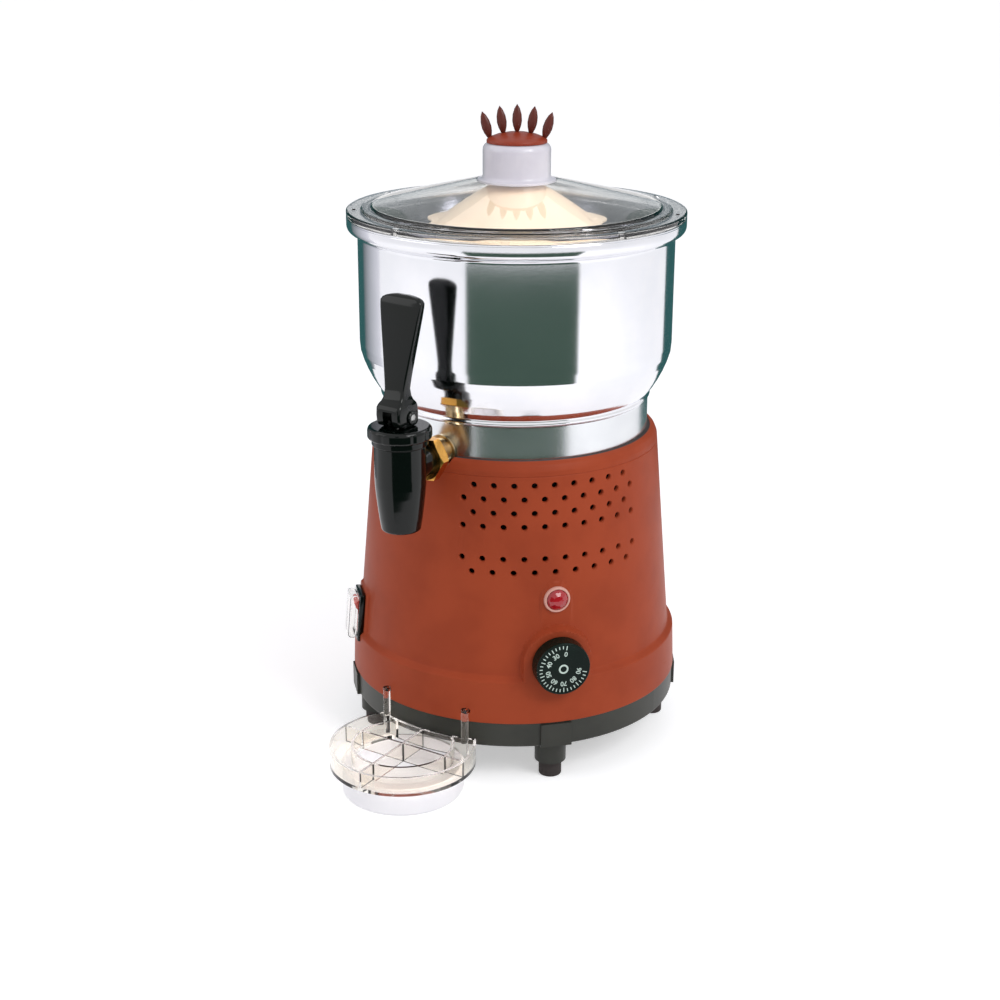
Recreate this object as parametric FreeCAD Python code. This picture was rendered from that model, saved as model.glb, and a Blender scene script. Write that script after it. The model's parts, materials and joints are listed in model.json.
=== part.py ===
"""Table-top hot chocolate dispenser: a stirred bowl in a water jacket on a round motor base.

Millimetres. The origin is on the machine's axis at floor level, +Z is up and the lever tap faces -Y.
An azimuth is counted in degrees from the tap side (-Y), positive towards +X.
"""

import FreeCAD, Part
import math
import os

# Stack of heights, from the floor up
FOOT_SHOW = 13.0
LEG_DROP = 18.0
BASE_HEIGHT = 20.0
HOUSING_HEIGHT = 203.0
COLLAR_SHOW = 23.0
BEAD_HEIGHT = 6.0
SHOULDER_HEIGHT = 33.0
DRUM_HEIGHT = 90.0
FLARE_HEIGHT = 2.4
RIM_HEIGHT = 9.6

# Radii that the base, the housing and the bowl share
HOUSING_BOTTOM_R = 132.4
SKIRT_DRAFT = 1.4
LEDGE_STEP = 4.6
BASE_SETBACK = 0.8
SKIRT_TOP_R = HOUSING_BOTTOM_R - SKIRT_DRAFT
WAIST_BOTTOM_R = SKIRT_TOP_R - LEDGE_STEP
BASE_R = HOUSING_BOTTOM_R - BASE_SETBACK
COLLAR_R = 104.5
MOUTH_GAP = 2.5
HOUSING_LIP = 5.8
MOUTH_R = COLLAR_R + MOUTH_GAP
WAIST_TOP_R = MOUTH_R + HOUSING_LIP
DRUM_R = 121.8
RIM_FLARE = 8.2
RIM_R = DRUM_R + RIM_FLARE

# Base tray and feet
BASE_WALL = 3.0
BASE_EDGE = 2.0
LEG_R = 12.2
LEG_TOP_GAP = 1.0
LEG_WEB_PROUD = 1.6
LEG_INSET = 15.6
LEG_CIRCLE_R = BASE_R - LEG_INSET
LEG_AZIMUTHS = (-121.0, -46.0, 46.0, 121.0)
FOOT_R = 8.9
FOOT_EDGE = 1.2
FOOT_STEM_R = 5.0
FOOT_STEM_LENGTH = 9.0
POST_R = 6.0
POST_BORE_R = 2.0
POST_IN_WALL = 1.0
POST_AZIMUTHS = (-152.0, -82.0, 82.0, 152.0)
SCREW_HEAD_R = 4.0
SCREW_HEAD_HEIGHT = 2.4
SCREW_REACH = 14.0
BOSS_HEIGHT = 24.0

# Housing shell
HOUSING_WALL = 3.0
SKIRT_HEIGHT = 34.0
LEDGE_RISE = 3.2
SHOULDER_ROUND = 7.0
LIP_LINE_DEPTH = 0.5
LIP_LINE_DROP = 11.0
GASKET_SINK = 0.8
VENT_R = 2.2
VENT_PITCH_DEG = 7.7
VENT_AZIMUTH = 46.7
VENT_ROWS = ((185.2, 9), (174.7, 10), (164.2, 9), (153.7, 10), (129.0, 10), (118.5, 9))

# Control pads on the housing
DIAL_AZIMUTH = 46.7
DIAL_Z = 100.5
DIAL_PAD_R = 27.0
DIAL_PAD_FOOT = 6.0
PAD_DEPTH = 8.4
PAD_BACK = WAIST_BOTTOM_R - PAD_DEPTH
CONTROL_HOLE_REACH = 10.0
DIAL_R = 21.4
DIAL_THICKNESS = 12.5
DIAL_GAP = 0.6
DIAL_BORE_R = 5.0
DIAL_TAPER = 0.6
DIAL_EDGE = 1.2
DIAL_SHELL = 2.0
DIAL_SHAFT_COVER = 3.0
DIAL_NECK = 9.0
DIAL_HUB_WALL = 2.5
LAMP_Z = 149.0
LAMP_PAD_R = 12.5
LAMP_PAD_PROUD = 1.6
LAMP_BEZEL_R = 10.3
LAMP_BEZEL_PROUD = 2.2
LAMP_BEZEL_EDGE = 0.99
LAMP_DOME_RISE = 3.4
LAMP_LENS_R = 8.5
LAMP_STEM_R = 7.0
LAMP_STEM_LENGTH = 26.0
SWITCH_AZIMUTH = -45.0
SWITCH_PAD_PROUD = 0.2
SWITCH_FACE_R = WAIST_BOTTOM_R + SWITCH_PAD_PROUD
SWITCH_Z = 98.7
SWITCH_WIDTH = 26.0
SWITCH_TALL = 40.0
SWITCH_PAD_MARGIN = 4.0
SWITCH_FRAME_PROUD = 4.6
SWITCH_GAP = 0.3
SWITCH_DEPTH = 24.0
SWITCH_EDGE = 1.2
SWITCH_LIP = 2.0
SWITCH_CHEEK = 3.0
ROCKER_WIDTH = 15.0
ROCKER_TALL = 26.0
ROCKER_TILT = 9.0
ROCKER_CREST = 8.6
ROCKER_WAIST = 6.2
ROCKER_BACK = 4.0
ROCKER_GAP = 0.4
ROCKER_ROOM = 10.0
ROCKER_PIVOT_IN = 2.4
ROCKER_PIN_R = 2.0
ROCKER_PIN_OUT = 2.0
BOOT_WIDTH = 22.0
BOOT_TALL = 36.0
BOOT_PROUD = 7.0
BOOT_WALL = 1.2
BOOT_ROUND = 3.0

# Bowl, jacket and column
JACKET_WALL = 1.2
SHOULDER_ROUND_R = 46.0
BEAD_R = 1.7
BATH_DEPTH = 47.0
BATH_SKIRT = 12.0
BOWL_WALL = 1.0
BOWL_GAP = 2.6
BOWL_FLOOR_DROP = 22.0
BOWL_CORNER_R = 9.0
COLUMN_R = 11.0
COLUMN_WALL = 2.0
COLUMN_TOP_DROP = 26.0

# Drive
SHAFT_R = 5.0
BUSH_PLAY = 0.05
BUSH_LENGTH = 16.0
GEAR_MODULE = 1.25
PINION_TEETH = 12
WHEEL_TEETH = 48
GEAR_FACE = 6.0
GEAR_BACKLASH = 0.06
GEAR_GAP = 3.0
PINION_EXTRA = 2.0
GEARBOX_WALL = 3.0
GEARBOX_TIP_ROOM = 1.8
GEARBOX_END_ROOM = 3.0
GEARBOX_SCREW_R = 2.0
GEARBOX_EAR_R = 5.0
GEARBOX_EAR_DEPTH = 8.0
BUSH_R = 8.0
IDLER_PIN_R = 3.0
MOTOR_SHAFT_R = 3.0
MOTOR_R = 30.0
MOTOR_LENGTH = 60.0
MOTOR_WALL = 2.0
MOTOR_EDGE = 3.0
MOTOR_SHAFT_ROOM = 1.5
MOTOR_SCREW_X = 22.0
MOTOR_SCREW_R = 1.6
ROTOR_R = 20.0
ROTOR_LENGTH = 38.0
ROTOR_GAP = 1.0
STATOR_EXTRA = 3.0
CHASSIS_THICKNESS = 2.0
CHASSIS_R = 108.0
PILLAR_R = 5.0
PILLAR_CIRCLE_R = 88.0

# Heating
HEATER_TUBE_R = 4.2
HEATER_RING_R = 76.0
HEATER_GAP_DEG = 40.0
HEATER_FLAT = 0.4
HEATER_TAIL = 14.0
CUTOUT_R = 9.0
CUTOUT_HEIGHT = 9.0
CUTOUT_PLACE_R = 46.0

# Stirrer
SEAL_HEIGHT = 2.5
HUB_GAP = 1.5
SLEEVE_GAP = 0.6
SLEEVE_WALL = 3.0
PADDLE_LIFT = 6.0
PADDLE_HEIGHT = 26.0
PADDLE_REACH = 86.0
PADDLE_THICKNESS = 3.0
PADDLE_COUNT = 3
CONE_BASE_R = 66.0
CONE_LOBE_R = 9.0
CONE_LOBES = 6
CONE_TOP_R = 20.0
CONE_RISE = 31.0
CONE_WALL = 2.0
CONE_EDGE = 1.5
CONE_ABOVE_RIM = 22.0
DRIVE_FLATS = 8.0
DRIVE_LENGTH = 16.0
DRIVE_GAP = 0.1

# Lid, cap and ornament
LID_WALL = 2.6
LID_FLANGE_HEIGHT = 5.0
LID_STEP_IN = (11.5, 19.0)
LID_STEP_R = (RIM_R - LID_STEP_IN[0], RIM_R - LID_STEP_IN[1])
LID_STEP_RISE = 1.5
LID_DOME_TOP_R = 30.0
LID_DOME_RISE = 19.0
NECK_R = 26.0
NECK_WALL = 5.4
NECK_HEIGHT = 27.0
NECK_ROUND = 5.0
LID_RING_GAP = 0.6
LID_RING_DEPTH = 7.0
SLOT_COUNT = 9
SLOT_INSET = 6.0
SLOT_CIRCLE_R = RIM_R - SLOT_INSET
SLOT_LENGTH = 6.0
SLOT_WIDTH = 2.6
SLOT_PHASE = -92.0
CAP_R = 23.0
CAP_SKIRT = 2.5
CAP_DOME_RISE = 5.5
PLUG_GAP = 0.5
PLUG_DEPTH = 12.0
PLUG_WALL = 2.4
ORNAMENT_SPREAD = 20.0
ORNAMENT_COUNT = 5
ORNAMENT_TALL = 22.5
ORNAMENT_WIDE = 7.6
ORNAMENT_THICK = 4.6
ORNAMENT_FAN_DEG = 34.0
ORNAMENT_SINK = 2.0
CAP_TURN = 28.0

# Tap
TRAY_OUT = 29.4
TRAY_REACH = BASE_R + TRAY_OUT
TAP_BEHIND_TRAY = 3.0
TAP_REACH = TRAY_REACH - TAP_BEHIND_TRAY
TAP_INLET_ABOVE = 2.0
TAP_BODY_R = 18.8
TAP_MIDDLE_R = 17.0
TAP_SPOUT_R = 14.3
TAP_LIP = 2.0
TAP_SPOUT_DROP = 46.0
TAP_HEAD_RISE = 19.5
TAP_STRAIGHT = 30.0
TAP_CHAMBER_R = 12.0
TAP_SEAT_R = 8.0
TAP_SEAT_DROP = 16.0
TAP_SEAT_THICKNESS = 4.0
TAP_SPOUT_BORE_R = 11.0
TAP_SPIGOT_R = 17.0
TAP_SPIGOT_HEIGHT = 9.0
INLET_BOSS_R = 12.5
INLET_BOSS_LENGTH = 28.5
INLET_BOSS_END = TAP_REACH - INLET_BOSS_LENGTH
INLET_BORE_R = 7.2
NIPPLE_R = 10.4
NIPPLE_SOCKET = 14.0
NUT_FLATS = 31.0
NUT_THICKNESS = 9.0
WASHER_R = 12.6
WASHER_THICKNESS = 1.6
WASHER_ROOM = 0.4
NIPPLE_INSIDE = 7.0
INNER_NUT_FLATS = 27.0
INNER_NUT_THICKNESS = 4.0
INNER_NUT_GAP = 0.1
NOTCH_R = 12.6
BONNET_R = 23.4
BONNET_FOOT_R = 20.4
BONNET_FOOT_HEIGHT = 5.0
BONNET_WEB = 4.0
BONNET_GASKET = 1.0
BONNET_ROUND = 2.0
BONNET_FIT = 0.15
STEM_R = 3.2
STEM_FLANGE = 2.0
STEM_GUIDE_GAP = 0.08
STEM_HEAD_R = 5.0
STEM_HEAD_THICKNESS = 7.4
PLUNGER_R = 10.0
PLUNGER_THICKNESS = 3.0
SPRING_COIL_R = 7.6
SPRING_WIRE_R = 0.8
SPRING_TURNS = 5
PIN_R = 1.6
PIN_FIT = 0.05
PIN_HEIGHT = 7.0
PIN_BOSS_R = 5.2
PIN_BOSS_PROUD = 1.6
LEVER_THROW_DEG = 50.0
STEM_LIFT = 6.0
CAM_GAP = 0.2
FORK_WIDTH = 21.0
FORK_FRONT = 15.2
FORK_BACK = 9.8
FORK_BROW_Z = 11.0
FORK_STEP = 3.0
FORK_NAPE_Z = 7.0
FORK_CHIN = 5.0
FORK_HEEL = 4.0
FORK_ROOM = 1.0
FORK_SLOT = 8.0
LEVER_HEIGHT = 87.5
LEVER_NECK_Z = 21.0
LEVER_NECK_WIDTH = 16.8
LEVER_NECK_DEPTH = 8.6
LEVER_TOP_WIDTH = 35.5
LEVER_TOP_DEPTH = 7.0
LEVER_LEAN = 9.0
LEVER_TOP_ROUND = 5.0
LEVER_CROWN = 2.5

# Drip tray
CUP_R = 46.5
CUP_WALL = 2.0
CUP_FLOOR = 2.2
CUP_HEIGHT = 22.0
CUP_TOP_GAP = 0.3
CUP_EDGE = 2.0
GRILLE_R = 56.0
GRILLE_WALL = 2.2
GRILLE_HEIGHT = 15.0
GRILLE_INNER_R = 38.5
GRILLE_FLOOR = 2.2
GRILLE_RIB = 2.0
GRILLE_BASE_GAP = 1.0
PRONG_X = 36.5
PRONG_R = 2.8
PRONG_TOP_Z = 59.5
PEG_R = 2.0
PEG_DEPTH = 8.0
PEG_GAP = 0.35

# Services
GLAND_Z = 66.0
GLAND_R = 9.0
GLAND_BORE_R = 4.0
GLAND_OUT = 12.0
GLAND_IN = 14.0
GLAND_LIP = 2.0
GLAND_EDGE = 1.6
GLAND_NUT_GAP = 0.1
GLAND_NUT_FLATS = 22.0
GLAND_NUT_THICKNESS = 5.0
TERMINAL_SIZE = (44.0, 20.0, 18.0)
TERMINAL_PLACE = (-34.0, 56.0)
TERMINAL_WAYS = 5
TERMINAL_SCREW_R = 1.8
THERMOSTAT_SIZE = (36.0, 36.0, 26.0)
THERMOSTAT_SHAFT_R = 3.0
THERMOSTAT_SHAFT_IN = 12.0

# Heights worked out from the stack
base_z = FOOT_SHOW + LEG_DROP
housing_z = base_z + BASE_HEIGHT
housing_top = housing_z + HOUSING_HEIGHT
collar_top = housing_top + COLLAR_SHOW
shoulder_z = collar_top + BEAD_HEIGHT
drum_z = shoulder_z + SHOULDER_HEIGHT
drum_top = drum_z + DRUM_HEIGHT
rim_z = drum_top + FLARE_HEIGHT
rim_top = rim_z + RIM_HEIGHT
tank_floor = housing_top - BATH_DEPTH
chassis_top = tank_floor - BATH_SKIRT
chassis_z = chassis_top - CHASSIS_THICKNESS
gearbox_top = chassis_z
output_wheel_z = gearbox_top - GEARBOX_WALL - GEARBOX_END_ROOM - GEAR_FACE
idler_wheel_z = output_wheel_z - GEAR_GAP - GEAR_FACE
gearbox_z = idler_wheel_z - GEARBOX_END_ROOM - GEARBOX_WALL
motor_z = gearbox_z - MOTOR_LENGTH
bowl_floor = housing_top - BOWL_FLOOR_DROP
column_top = rim_top - COLUMN_TOP_DROP
hub_z = column_top + SEAL_HEIGHT + HUB_GAP
cone_top = rim_top + CONE_ABOVE_RIM
lid_top = rim_top + LID_FLANGE_HEIGHT
neck_top = lid_top + 2 * LID_STEP_RISE + LID_DOME_RISE + NECK_HEIGHT
inlet_z = housing_top + TAP_INLET_ABOVE
bonnet_top = inlet_z + TAP_HEAD_RISE + TAP_SPIGOT_HEIGHT + BONNET_GASKET + BONNET_WEB
pin_z = bonnet_top + PIN_HEIGHT
UP = FreeCAD.Vector(0, 0, 1)


def vec(x, y, z):
    return FreeCAD.Vector(x, y, z)


def outline_wire(points):
    """Closed wire in the XZ plane from (r, z) points; ("arc", middle, end) bends through its middle."""
    def upright(point):
        return vec(point[0], 0, point[1])
    edges = []
    here = points[0]
    for step in points[1:] + [points[0]]:
        if step[0] == "arc":
            edges.append(Part.Arc(upright(here), upright(step[1]), upright(step[2])).toShape())
            here = step[2]
        elif math.dist(here, step) > 1e-6:
            edges.append(Part.LineSegment(upright(here), upright(step)).toShape())
            here = step
    return Part.Wire(edges)


def turned(points):
    """Solid of revolution about the Z axis."""
    return Part.Face(outline_wire(points)).revolve(vec(0, 0, 0), UP, 360)


def corner_arc(centre, radius, start_deg, end_deg):
    """Arc step round a centre, between two angles counted from +r towards +z."""
    def at(angle):
        turn = math.radians(angle)
        return (centre[0] + radius * math.cos(turn), centre[1] + radius * math.sin(turn))
    return at(start_deg), ("arc", at((start_deg + end_deg) / 2), at(end_deg))


def rod(radius, z_low, z_high, x=0.0, y=0.0):
    return Part.makeCylinder(radius, z_high - z_low, vec(x, y, z_low))


def tube(outer, inner, z_low, z_high, x=0.0, y=0.0):
    return rod(outer, z_low, z_high, x, y).cut(rod(inner, z_low - 1, z_high + 1, x, y))


def radial_rod(radius, far, near, z, x=0.0):
    """Cylinder along Y on the tap side, from y = -far to y = -near."""
    return Part.makeCylinder(radius, far - near, vec(x, -far, z), vec(0, 1, 0))


def block(x_size, y_size, z_size, centre):
    corner = vec(centre[0] - x_size / 2, centre[1] - y_size / 2, centre[2] - z_size / 2)
    return Part.makeBox(x_size, y_size, z_size, corner)


def polygon_face(points):
    closed = [vec(*p) for p in points] + [vec(*points[0])]
    return Part.Face(Part.makePolygon(closed))


def hexagon(flats, z_low, z_high):
    corner = flats / math.sqrt(3)
    turns = [math.radians(60 * i) for i in range(6)]
    points = [(corner * math.cos(turn), corner * math.sin(turn), z_low) for turn in turns]
    return polygon_face(points).extrude(vec(0, 0, z_high - z_low))


def radial_hexagon(flats, far, near, z):
    """Hexagonal prism along Y on the tap side, a corner up."""
    prism = hexagon(flats, 0, far - near)
    prism.rotate(vec(0, 0, 0), UP, 30)
    prism.rotate(vec(0, 0, 0), vec(1, 0, 0), -90)
    prism.translate(vec(0, -far, z))
    return prism


def cross_rod(radius, x_from, x_to, y=0.0, z=0.0):
    """Cylinder along X."""
    return Part.makeCylinder(radius, x_to - x_from, vec(x_from, y, z), vec(1, 0, 0))


def front_edges(shape, front):
    """Edges on the flat face at y = -front."""
    return [edge for edge in shape.Edges if edge.BoundBox.YMax < 0.01 - front]


def bottom_edges(shape, z):
    return [edge for edge in shape.Edges if edge.BoundBox.ZMax < z + 0.01]


def top_edges(shape, z):
    return [edge for edge in shape.Edges if edge.BoundBox.ZMin > z - 0.01]


def at_azimuth(shape, azimuth):
    moved = shape.copy()
    moved.rotate(vec(0, 0, 0), UP, azimuth)
    return moved


def polar(radius, azimuth):
    turn = math.radians(azimuth)
    return radius * math.sin(turn), -radius * math.cos(turn)


def joined(shapes):
    return shapes[0].multiFuse(shapes[1:]).removeSplitter() if len(shapes) > 1 else shapes[0]


def group(shapes):
    return Part.makeCompound(shapes)


def housing_radius(z):
    """Outer radius of the housing's tapered waist at height z."""
    low = housing_z + SKIRT_HEIGHT + LEDGE_RISE
    high = housing_top - SHOULDER_ROUND
    return WAIST_BOTTOM_R + (WAIST_TOP_R - WAIST_BOTTOM_R) * (z - low) / (high - low)


def leg_places():
    return [polar(LEG_CIRCLE_R, azimuth) for azimuth in LEG_AZIMUTHS]


def post_places():
    circle = HOUSING_BOTTOM_R - HOUSING_WALL - POST_R + POST_IN_WALL
    return [polar(circle, azimuth) for azimuth in POST_AZIMUTHS]


def pillar_places():
    return [polar(PILLAR_CIRCLE_R, azimuth) for azimuth in (0, 90, 180, 270)]


# Base and feet
def base_tray():
    shell = rod(BASE_R, base_z, housing_z)
    shell = shell.makeFillet(BASE_EDGE, bottom_edges(shell, base_z))
    shell = shell.cut(rod(BASE_R - BASE_WALL, base_z + BASE_WALL, housing_z + 1))
    leg_top = housing_z - LEG_TOP_GAP
    legs = [rod(LEG_R, FOOT_SHOW, leg_top, x, y) for x, y in leg_places()]
    reach = BASE_R + LEG_WEB_PROUD - LEG_CIRCLE_R
    centre = (0, -(LEG_CIRCLE_R + reach / 2), (leg_top + base_z) / 2)
    web = block(2 * LEG_R, reach, leg_top - base_z, centre)
    webs = [at_azimuth(web, azimuth) for azimuth in LEG_AZIMUTHS]
    posts = [rod(POST_R, base_z + 1.0, housing_z, x, y) for x, y in post_places()]
    tray = joined([shell] + legs + webs + posts)
    for x, y in leg_places():
        tray = tray.cut(rod(FOOT_STEM_R, FOOT_SHOW - 1, FOOT_SHOW + FOOT_STEM_LENGTH, x, y))
    for x, y in post_places():
        tray = tray.cut(rod(POST_BORE_R, base_z - 1, housing_z + 1, x, y))
        tray = tray.cut(rod(SCREW_HEAD_R, base_z - 1, base_z + SCREW_HEAD_HEIGHT, x, y))
    return tray


def rubber_feet():
    feet = []
    for x, y in leg_places():
        pad = rod(FOOT_R, 0, FOOT_SHOW)
        pad = pad.makeFillet(FOOT_EDGE, bottom_edges(pad, 0))
        stem = rod(FOOT_STEM_R, FOOT_SHOW - 1, FOOT_SHOW + FOOT_STEM_LENGTH)
        foot = pad.fuse(stem).removeSplitter()
        foot.translate(vec(x, y, 0))
        feet.append(foot)
    return group(feet)


def base_screws():
    screws = []
    for x, y in post_places():
        head = rod(SCREW_HEAD_R, base_z, base_z + SCREW_HEAD_HEIGHT, x, y)
        shank = rod(POST_BORE_R, base_z + SCREW_HEAD_HEIGHT - 0.5, housing_z + SCREW_REACH, x, y)
        screws.append(head.fuse(shank).removeSplitter())
    return group(screws)


# Housing
def housing_profile(inset):
    """Outline of the housing moved inwards by inset, from the axis at the bottom to the axis on top."""
    ledge = housing_z + SKIRT_HEIGHT
    bottom = housing_z - (1 if inset else 0)
    round_r = SHOULDER_ROUND - inset
    centre = (WAIST_TOP_R - SHOULDER_ROUND, housing_top - SHOULDER_ROUND)
    start, bend = corner_arc(centre, round_r, 0, 90)
    return [
        (0, bottom),
        (HOUSING_BOTTOM_R - inset, bottom),
        (SKIRT_TOP_R - inset, ledge),
        (WAIST_BOTTOM_R - inset, ledge + LEDGE_RISE),
        start,
        bend,
        (0, housing_top - inset),
    ]


def pad_prism(half_width, z_low, z_arch, front):
    """Upright pad from PAD_BACK to front: straight sides from z_low to z_arch, then a half circle."""
    depth = front - PAD_BACK
    sides = block(2 * half_width, depth, z_arch - z_low, (0, -(PAD_BACK + front) / 2, (z_low + z_arch) / 2))
    arch = radial_rod(half_width, front, PAD_BACK, z_arch)
    return sides.fuse(arch).removeSplitter()


def lamp_face():
    """Distance of the lamp pad's flat face from the machine's axis."""
    return housing_radius(LAMP_Z) + LAMP_PAD_PROUD


def vent_cuts():
    cuts = []
    for height, count in VENT_ROWS:
        hole = radial_rod(VENT_R, HOUSING_BOTTOM_R, COLLAR_R + 1.0, housing_z + height)
        first = VENT_AZIMUTH - VENT_PITCH_DEG * (count - 1) / 2
        cuts += [at_azimuth(hole, first + VENT_PITCH_DEG * i) for i in range(count)]
    return group(cuts)


def control_pads():
    """Raised pads for the dial, the lamp and the switch."""
    skirt_rod = rod(SKIRT_TOP_R, housing_z, housing_top)
    dial_pad = pad_prism(DIAL_PAD_R, housing_z + DIAL_PAD_FOOT, DIAL_Z, HOUSING_BOTTOM_R + 2)
    lamp_pad = pad_prism(LAMP_PAD_R, DIAL_Z, LAMP_Z, lamp_face())
    wide = SWITCH_WIDTH + 2 * SWITCH_PAD_MARGIN
    tall = SWITCH_TALL + 2 * SWITCH_PAD_MARGIN
    centre = (0, -(SWITCH_FACE_R + PAD_BACK) / 2, SWITCH_Z)
    switch_pad = block(wide, SWITCH_FACE_R - PAD_BACK, tall, centre)
    return [
        at_azimuth(dial_pad.common(skirt_rod), DIAL_AZIMUTH),
        at_azimuth(lamp_pad, DIAL_AZIMUTH),
        on_switch_face(switch_pad),
    ]


def control_cuts():
    """Holes for the thermostat, the lamp, the switch, the cable gland and the tray's pegs."""
    inside = PAD_BACK - CONTROL_HOLE_REACH
    dial_hole = radial_rod(DIAL_BORE_R, HOUSING_BOTTOM_R, inside, DIAL_Z)
    lamp_hole = radial_rod(LAMP_STEM_R, HOUSING_BOTTOM_R, inside, LAMP_Z)
    hole_wide = SWITCH_WIDTH - 2 * SWITCH_LIP
    hole_tall = SWITCH_TALL - 2 * SWITCH_LIP
    hole_deep = HOUSING_BOTTOM_R - inside
    centre = (0, -(HOUSING_BOTTOM_R + inside) / 2, SWITCH_Z)
    switch_hole = block(hole_wide, hole_deep, hole_tall, centre)
    seat_far = HOUSING_BOTTOM_R + SWITCH_FRAME_PROUD
    seat_wide = SWITCH_WIDTH + 2 * SWITCH_GAP
    seat_tall = SWITCH_TALL + 2 * SWITCH_GAP
    centre = (0, -(seat_far + SWITCH_FACE_R) / 2, SWITCH_Z)
    switch_seat = block(seat_wide, seat_far - SWITCH_FACE_R, seat_tall, centre)
    gland_hole = radial_rod(GLAND_R - GLAND_LIP, HOUSING_BOTTOM_R + 2, inside, GLAND_Z)
    peg_holes = []
    for x in (-PRONG_X, PRONG_X):
        peg_holes.append(radial_rod(PEG_R + PEG_GAP, HOUSING_BOTTOM_R, inside, PRONG_TOP_Z, x))
    return peg_holes + [
        at_azimuth(dial_hole, DIAL_AZIMUTH),
        at_azimuth(lamp_hole, DIAL_AZIMUTH),
        on_switch_face(switch_hole),
        on_switch_face(switch_seat),
        at_azimuth(gland_hole, 180),
    ]


def housing():
    shell = turned(housing_profile(0)).cut(turned(housing_profile(HOUSING_WALL)))
    mouth = rod(MOUTH_R, housing_top - 20, housing_top + 1)
    notch = radial_rod(NOTCH_R, HOUSING_BOTTOM_R, MOUTH_R - 5, inlet_z)
    line_z = housing_top - LIP_LINE_DROP
    line_r = housing_radius(line_z)
    line = tube(line_r + 1, line_r - LIP_LINE_DEPTH, line_z - 0.5, line_z + 0.5)
    bosses = [rod(POST_R, housing_z, housing_z + BOSS_HEIGHT, x, y) for x, y in post_places()]
    shell = joined([shell] + control_pads()).cut(group([mouth, notch, line]))
    pilot_top = housing_z + SCREW_REACH + 1
    pilots = [rod(POST_BORE_R, housing_z - 1, pilot_top, x, y) for x, y in post_places()]
    return joined([shell] + bosses).cut(group(pilots + control_cuts())).cut(vent_cuts())


def collar_gasket():
    ring = tube(MOUTH_R, COLLAR_R, housing_top - HOUSING_WALL, housing_top - GASKET_SINK)
    return ring.cut(radial_rod(WASHER_R + WASHER_ROOM, MOUTH_R + 2, COLLAR_R - 5, inlet_z))


# Chassis and services
def chassis_plate():
    plate = rod(CHASSIS_R, chassis_z, chassis_top)
    holes = [rod(BUSH_R, chassis_z - 1, chassis_top + 1)]
    holes += [rod(HEATER_TUBE_R + 1, chassis_z - 1, chassis_top + 1, x, y) for x, y in heater_tail_places()]
    holes += [rod(GEARBOX_SCREW_R, chassis_z - 1, chassis_top + 1, x, y) for x, y in gearbox_screw_places()]
    return plate.cut(group(holes))


def pillars():
    floor = base_z + BASE_WALL
    return group([rod(PILLAR_R, floor, chassis_z, x, y) for x, y in pillar_places()])


def terminal_block():
    x_size, y_size, z_size = TERMINAL_SIZE
    floor = base_z + BASE_WALL
    body = block(x_size, y_size, z_size, (TERMINAL_PLACE[0], TERMINAL_PLACE[1], floor + z_size / 2))
    step = x_size / TERMINAL_WAYS
    for i in range(TERMINAL_WAYS):
        x = TERMINAL_PLACE[0] - x_size / 2 + step * (i + 0.5)
        body = body.cut(rod(TERMINAL_SCREW_R, floor + z_size / 2, floor + z_size + 1, x, TERMINAL_PLACE[1]))
    return body


def skirt_radius(z):
    """Outer radius of the housing's skirt at height z."""
    return HOUSING_BOTTOM_R + (SKIRT_TOP_R - HOUSING_BOTTOM_R) * (z - housing_z) / SKIRT_HEIGHT


def gland_nut_face():
    """Distance from the axis to the inner gland nut's face, its corners clear of the round wall."""
    wall = skirt_radius(GLAND_Z + GLAND_NUT_FLATS / math.sqrt(3)) - HOUSING_WALL
    half = GLAND_NUT_FLATS / 2
    return math.sqrt(wall * wall - half * half) - GLAND_NUT_GAP


def cable_gland():
    far = HOUSING_BOTTOM_R + GLAND_OUT
    near = HOUSING_BOTTOM_R - GLAND_IN
    outside = radial_rod(GLAND_R, far, HOUSING_BOTTOM_R, GLAND_Z)
    outside = outside.makeFillet(GLAND_EDGE, front_edges(outside, far))
    thread = radial_rod(GLAND_R - GLAND_LIP, HOUSING_BOTTOM_R + 1, near, GLAND_Z)
    bore = radial_rod(GLAND_BORE_R, far + 1, near - 1, GLAND_Z)
    return at_azimuth(outside.fuse(thread).removeSplitter().cut(bore), 180)


def gland_nut():
    face = gland_nut_face()
    back = face - GLAND_NUT_THICKNESS
    nut = radial_hexagon(GLAND_NUT_FLATS, face, back, GLAND_Z)
    return at_azimuth(nut.cut(radial_rod(GLAND_R - GLAND_LIP, face + 1, back - 1, GLAND_Z)), 180)


# Thermostat, lamp and switch
def thermostat_body():
    x_size, z_size, depth = THERMOSTAT_SIZE
    body = block(x_size, depth, z_size, (0, -(PAD_BACK - depth / 2), DIAL_Z))
    far = PAD_BACK + DIAL_NECK
    near = PAD_BACK - THERMOSTAT_SHAFT_IN - 1
    neck = radial_rod(DIAL_BORE_R, far, PAD_BACK - 1, DIAL_Z)
    bore = radial_rod(THERMOSTAT_SHAFT_R + BUSH_PLAY, far + 1, near, DIAL_Z)
    return at_azimuth(body.fuse(neck).removeSplitter().cut(bore), DIAL_AZIMUTH)


def thermostat_shaft():
    far = dial_back() + DIAL_THICKNESS - DIAL_SHAFT_COVER
    shaft = radial_rod(THERMOSTAT_SHAFT_R, far, PAD_BACK - THERMOSTAT_SHAFT_IN, DIAL_Z)
    return at_azimuth(shaft, DIAL_AZIMUTH)


def dial_back():
    return SKIRT_TOP_R + DIAL_GAP


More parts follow.
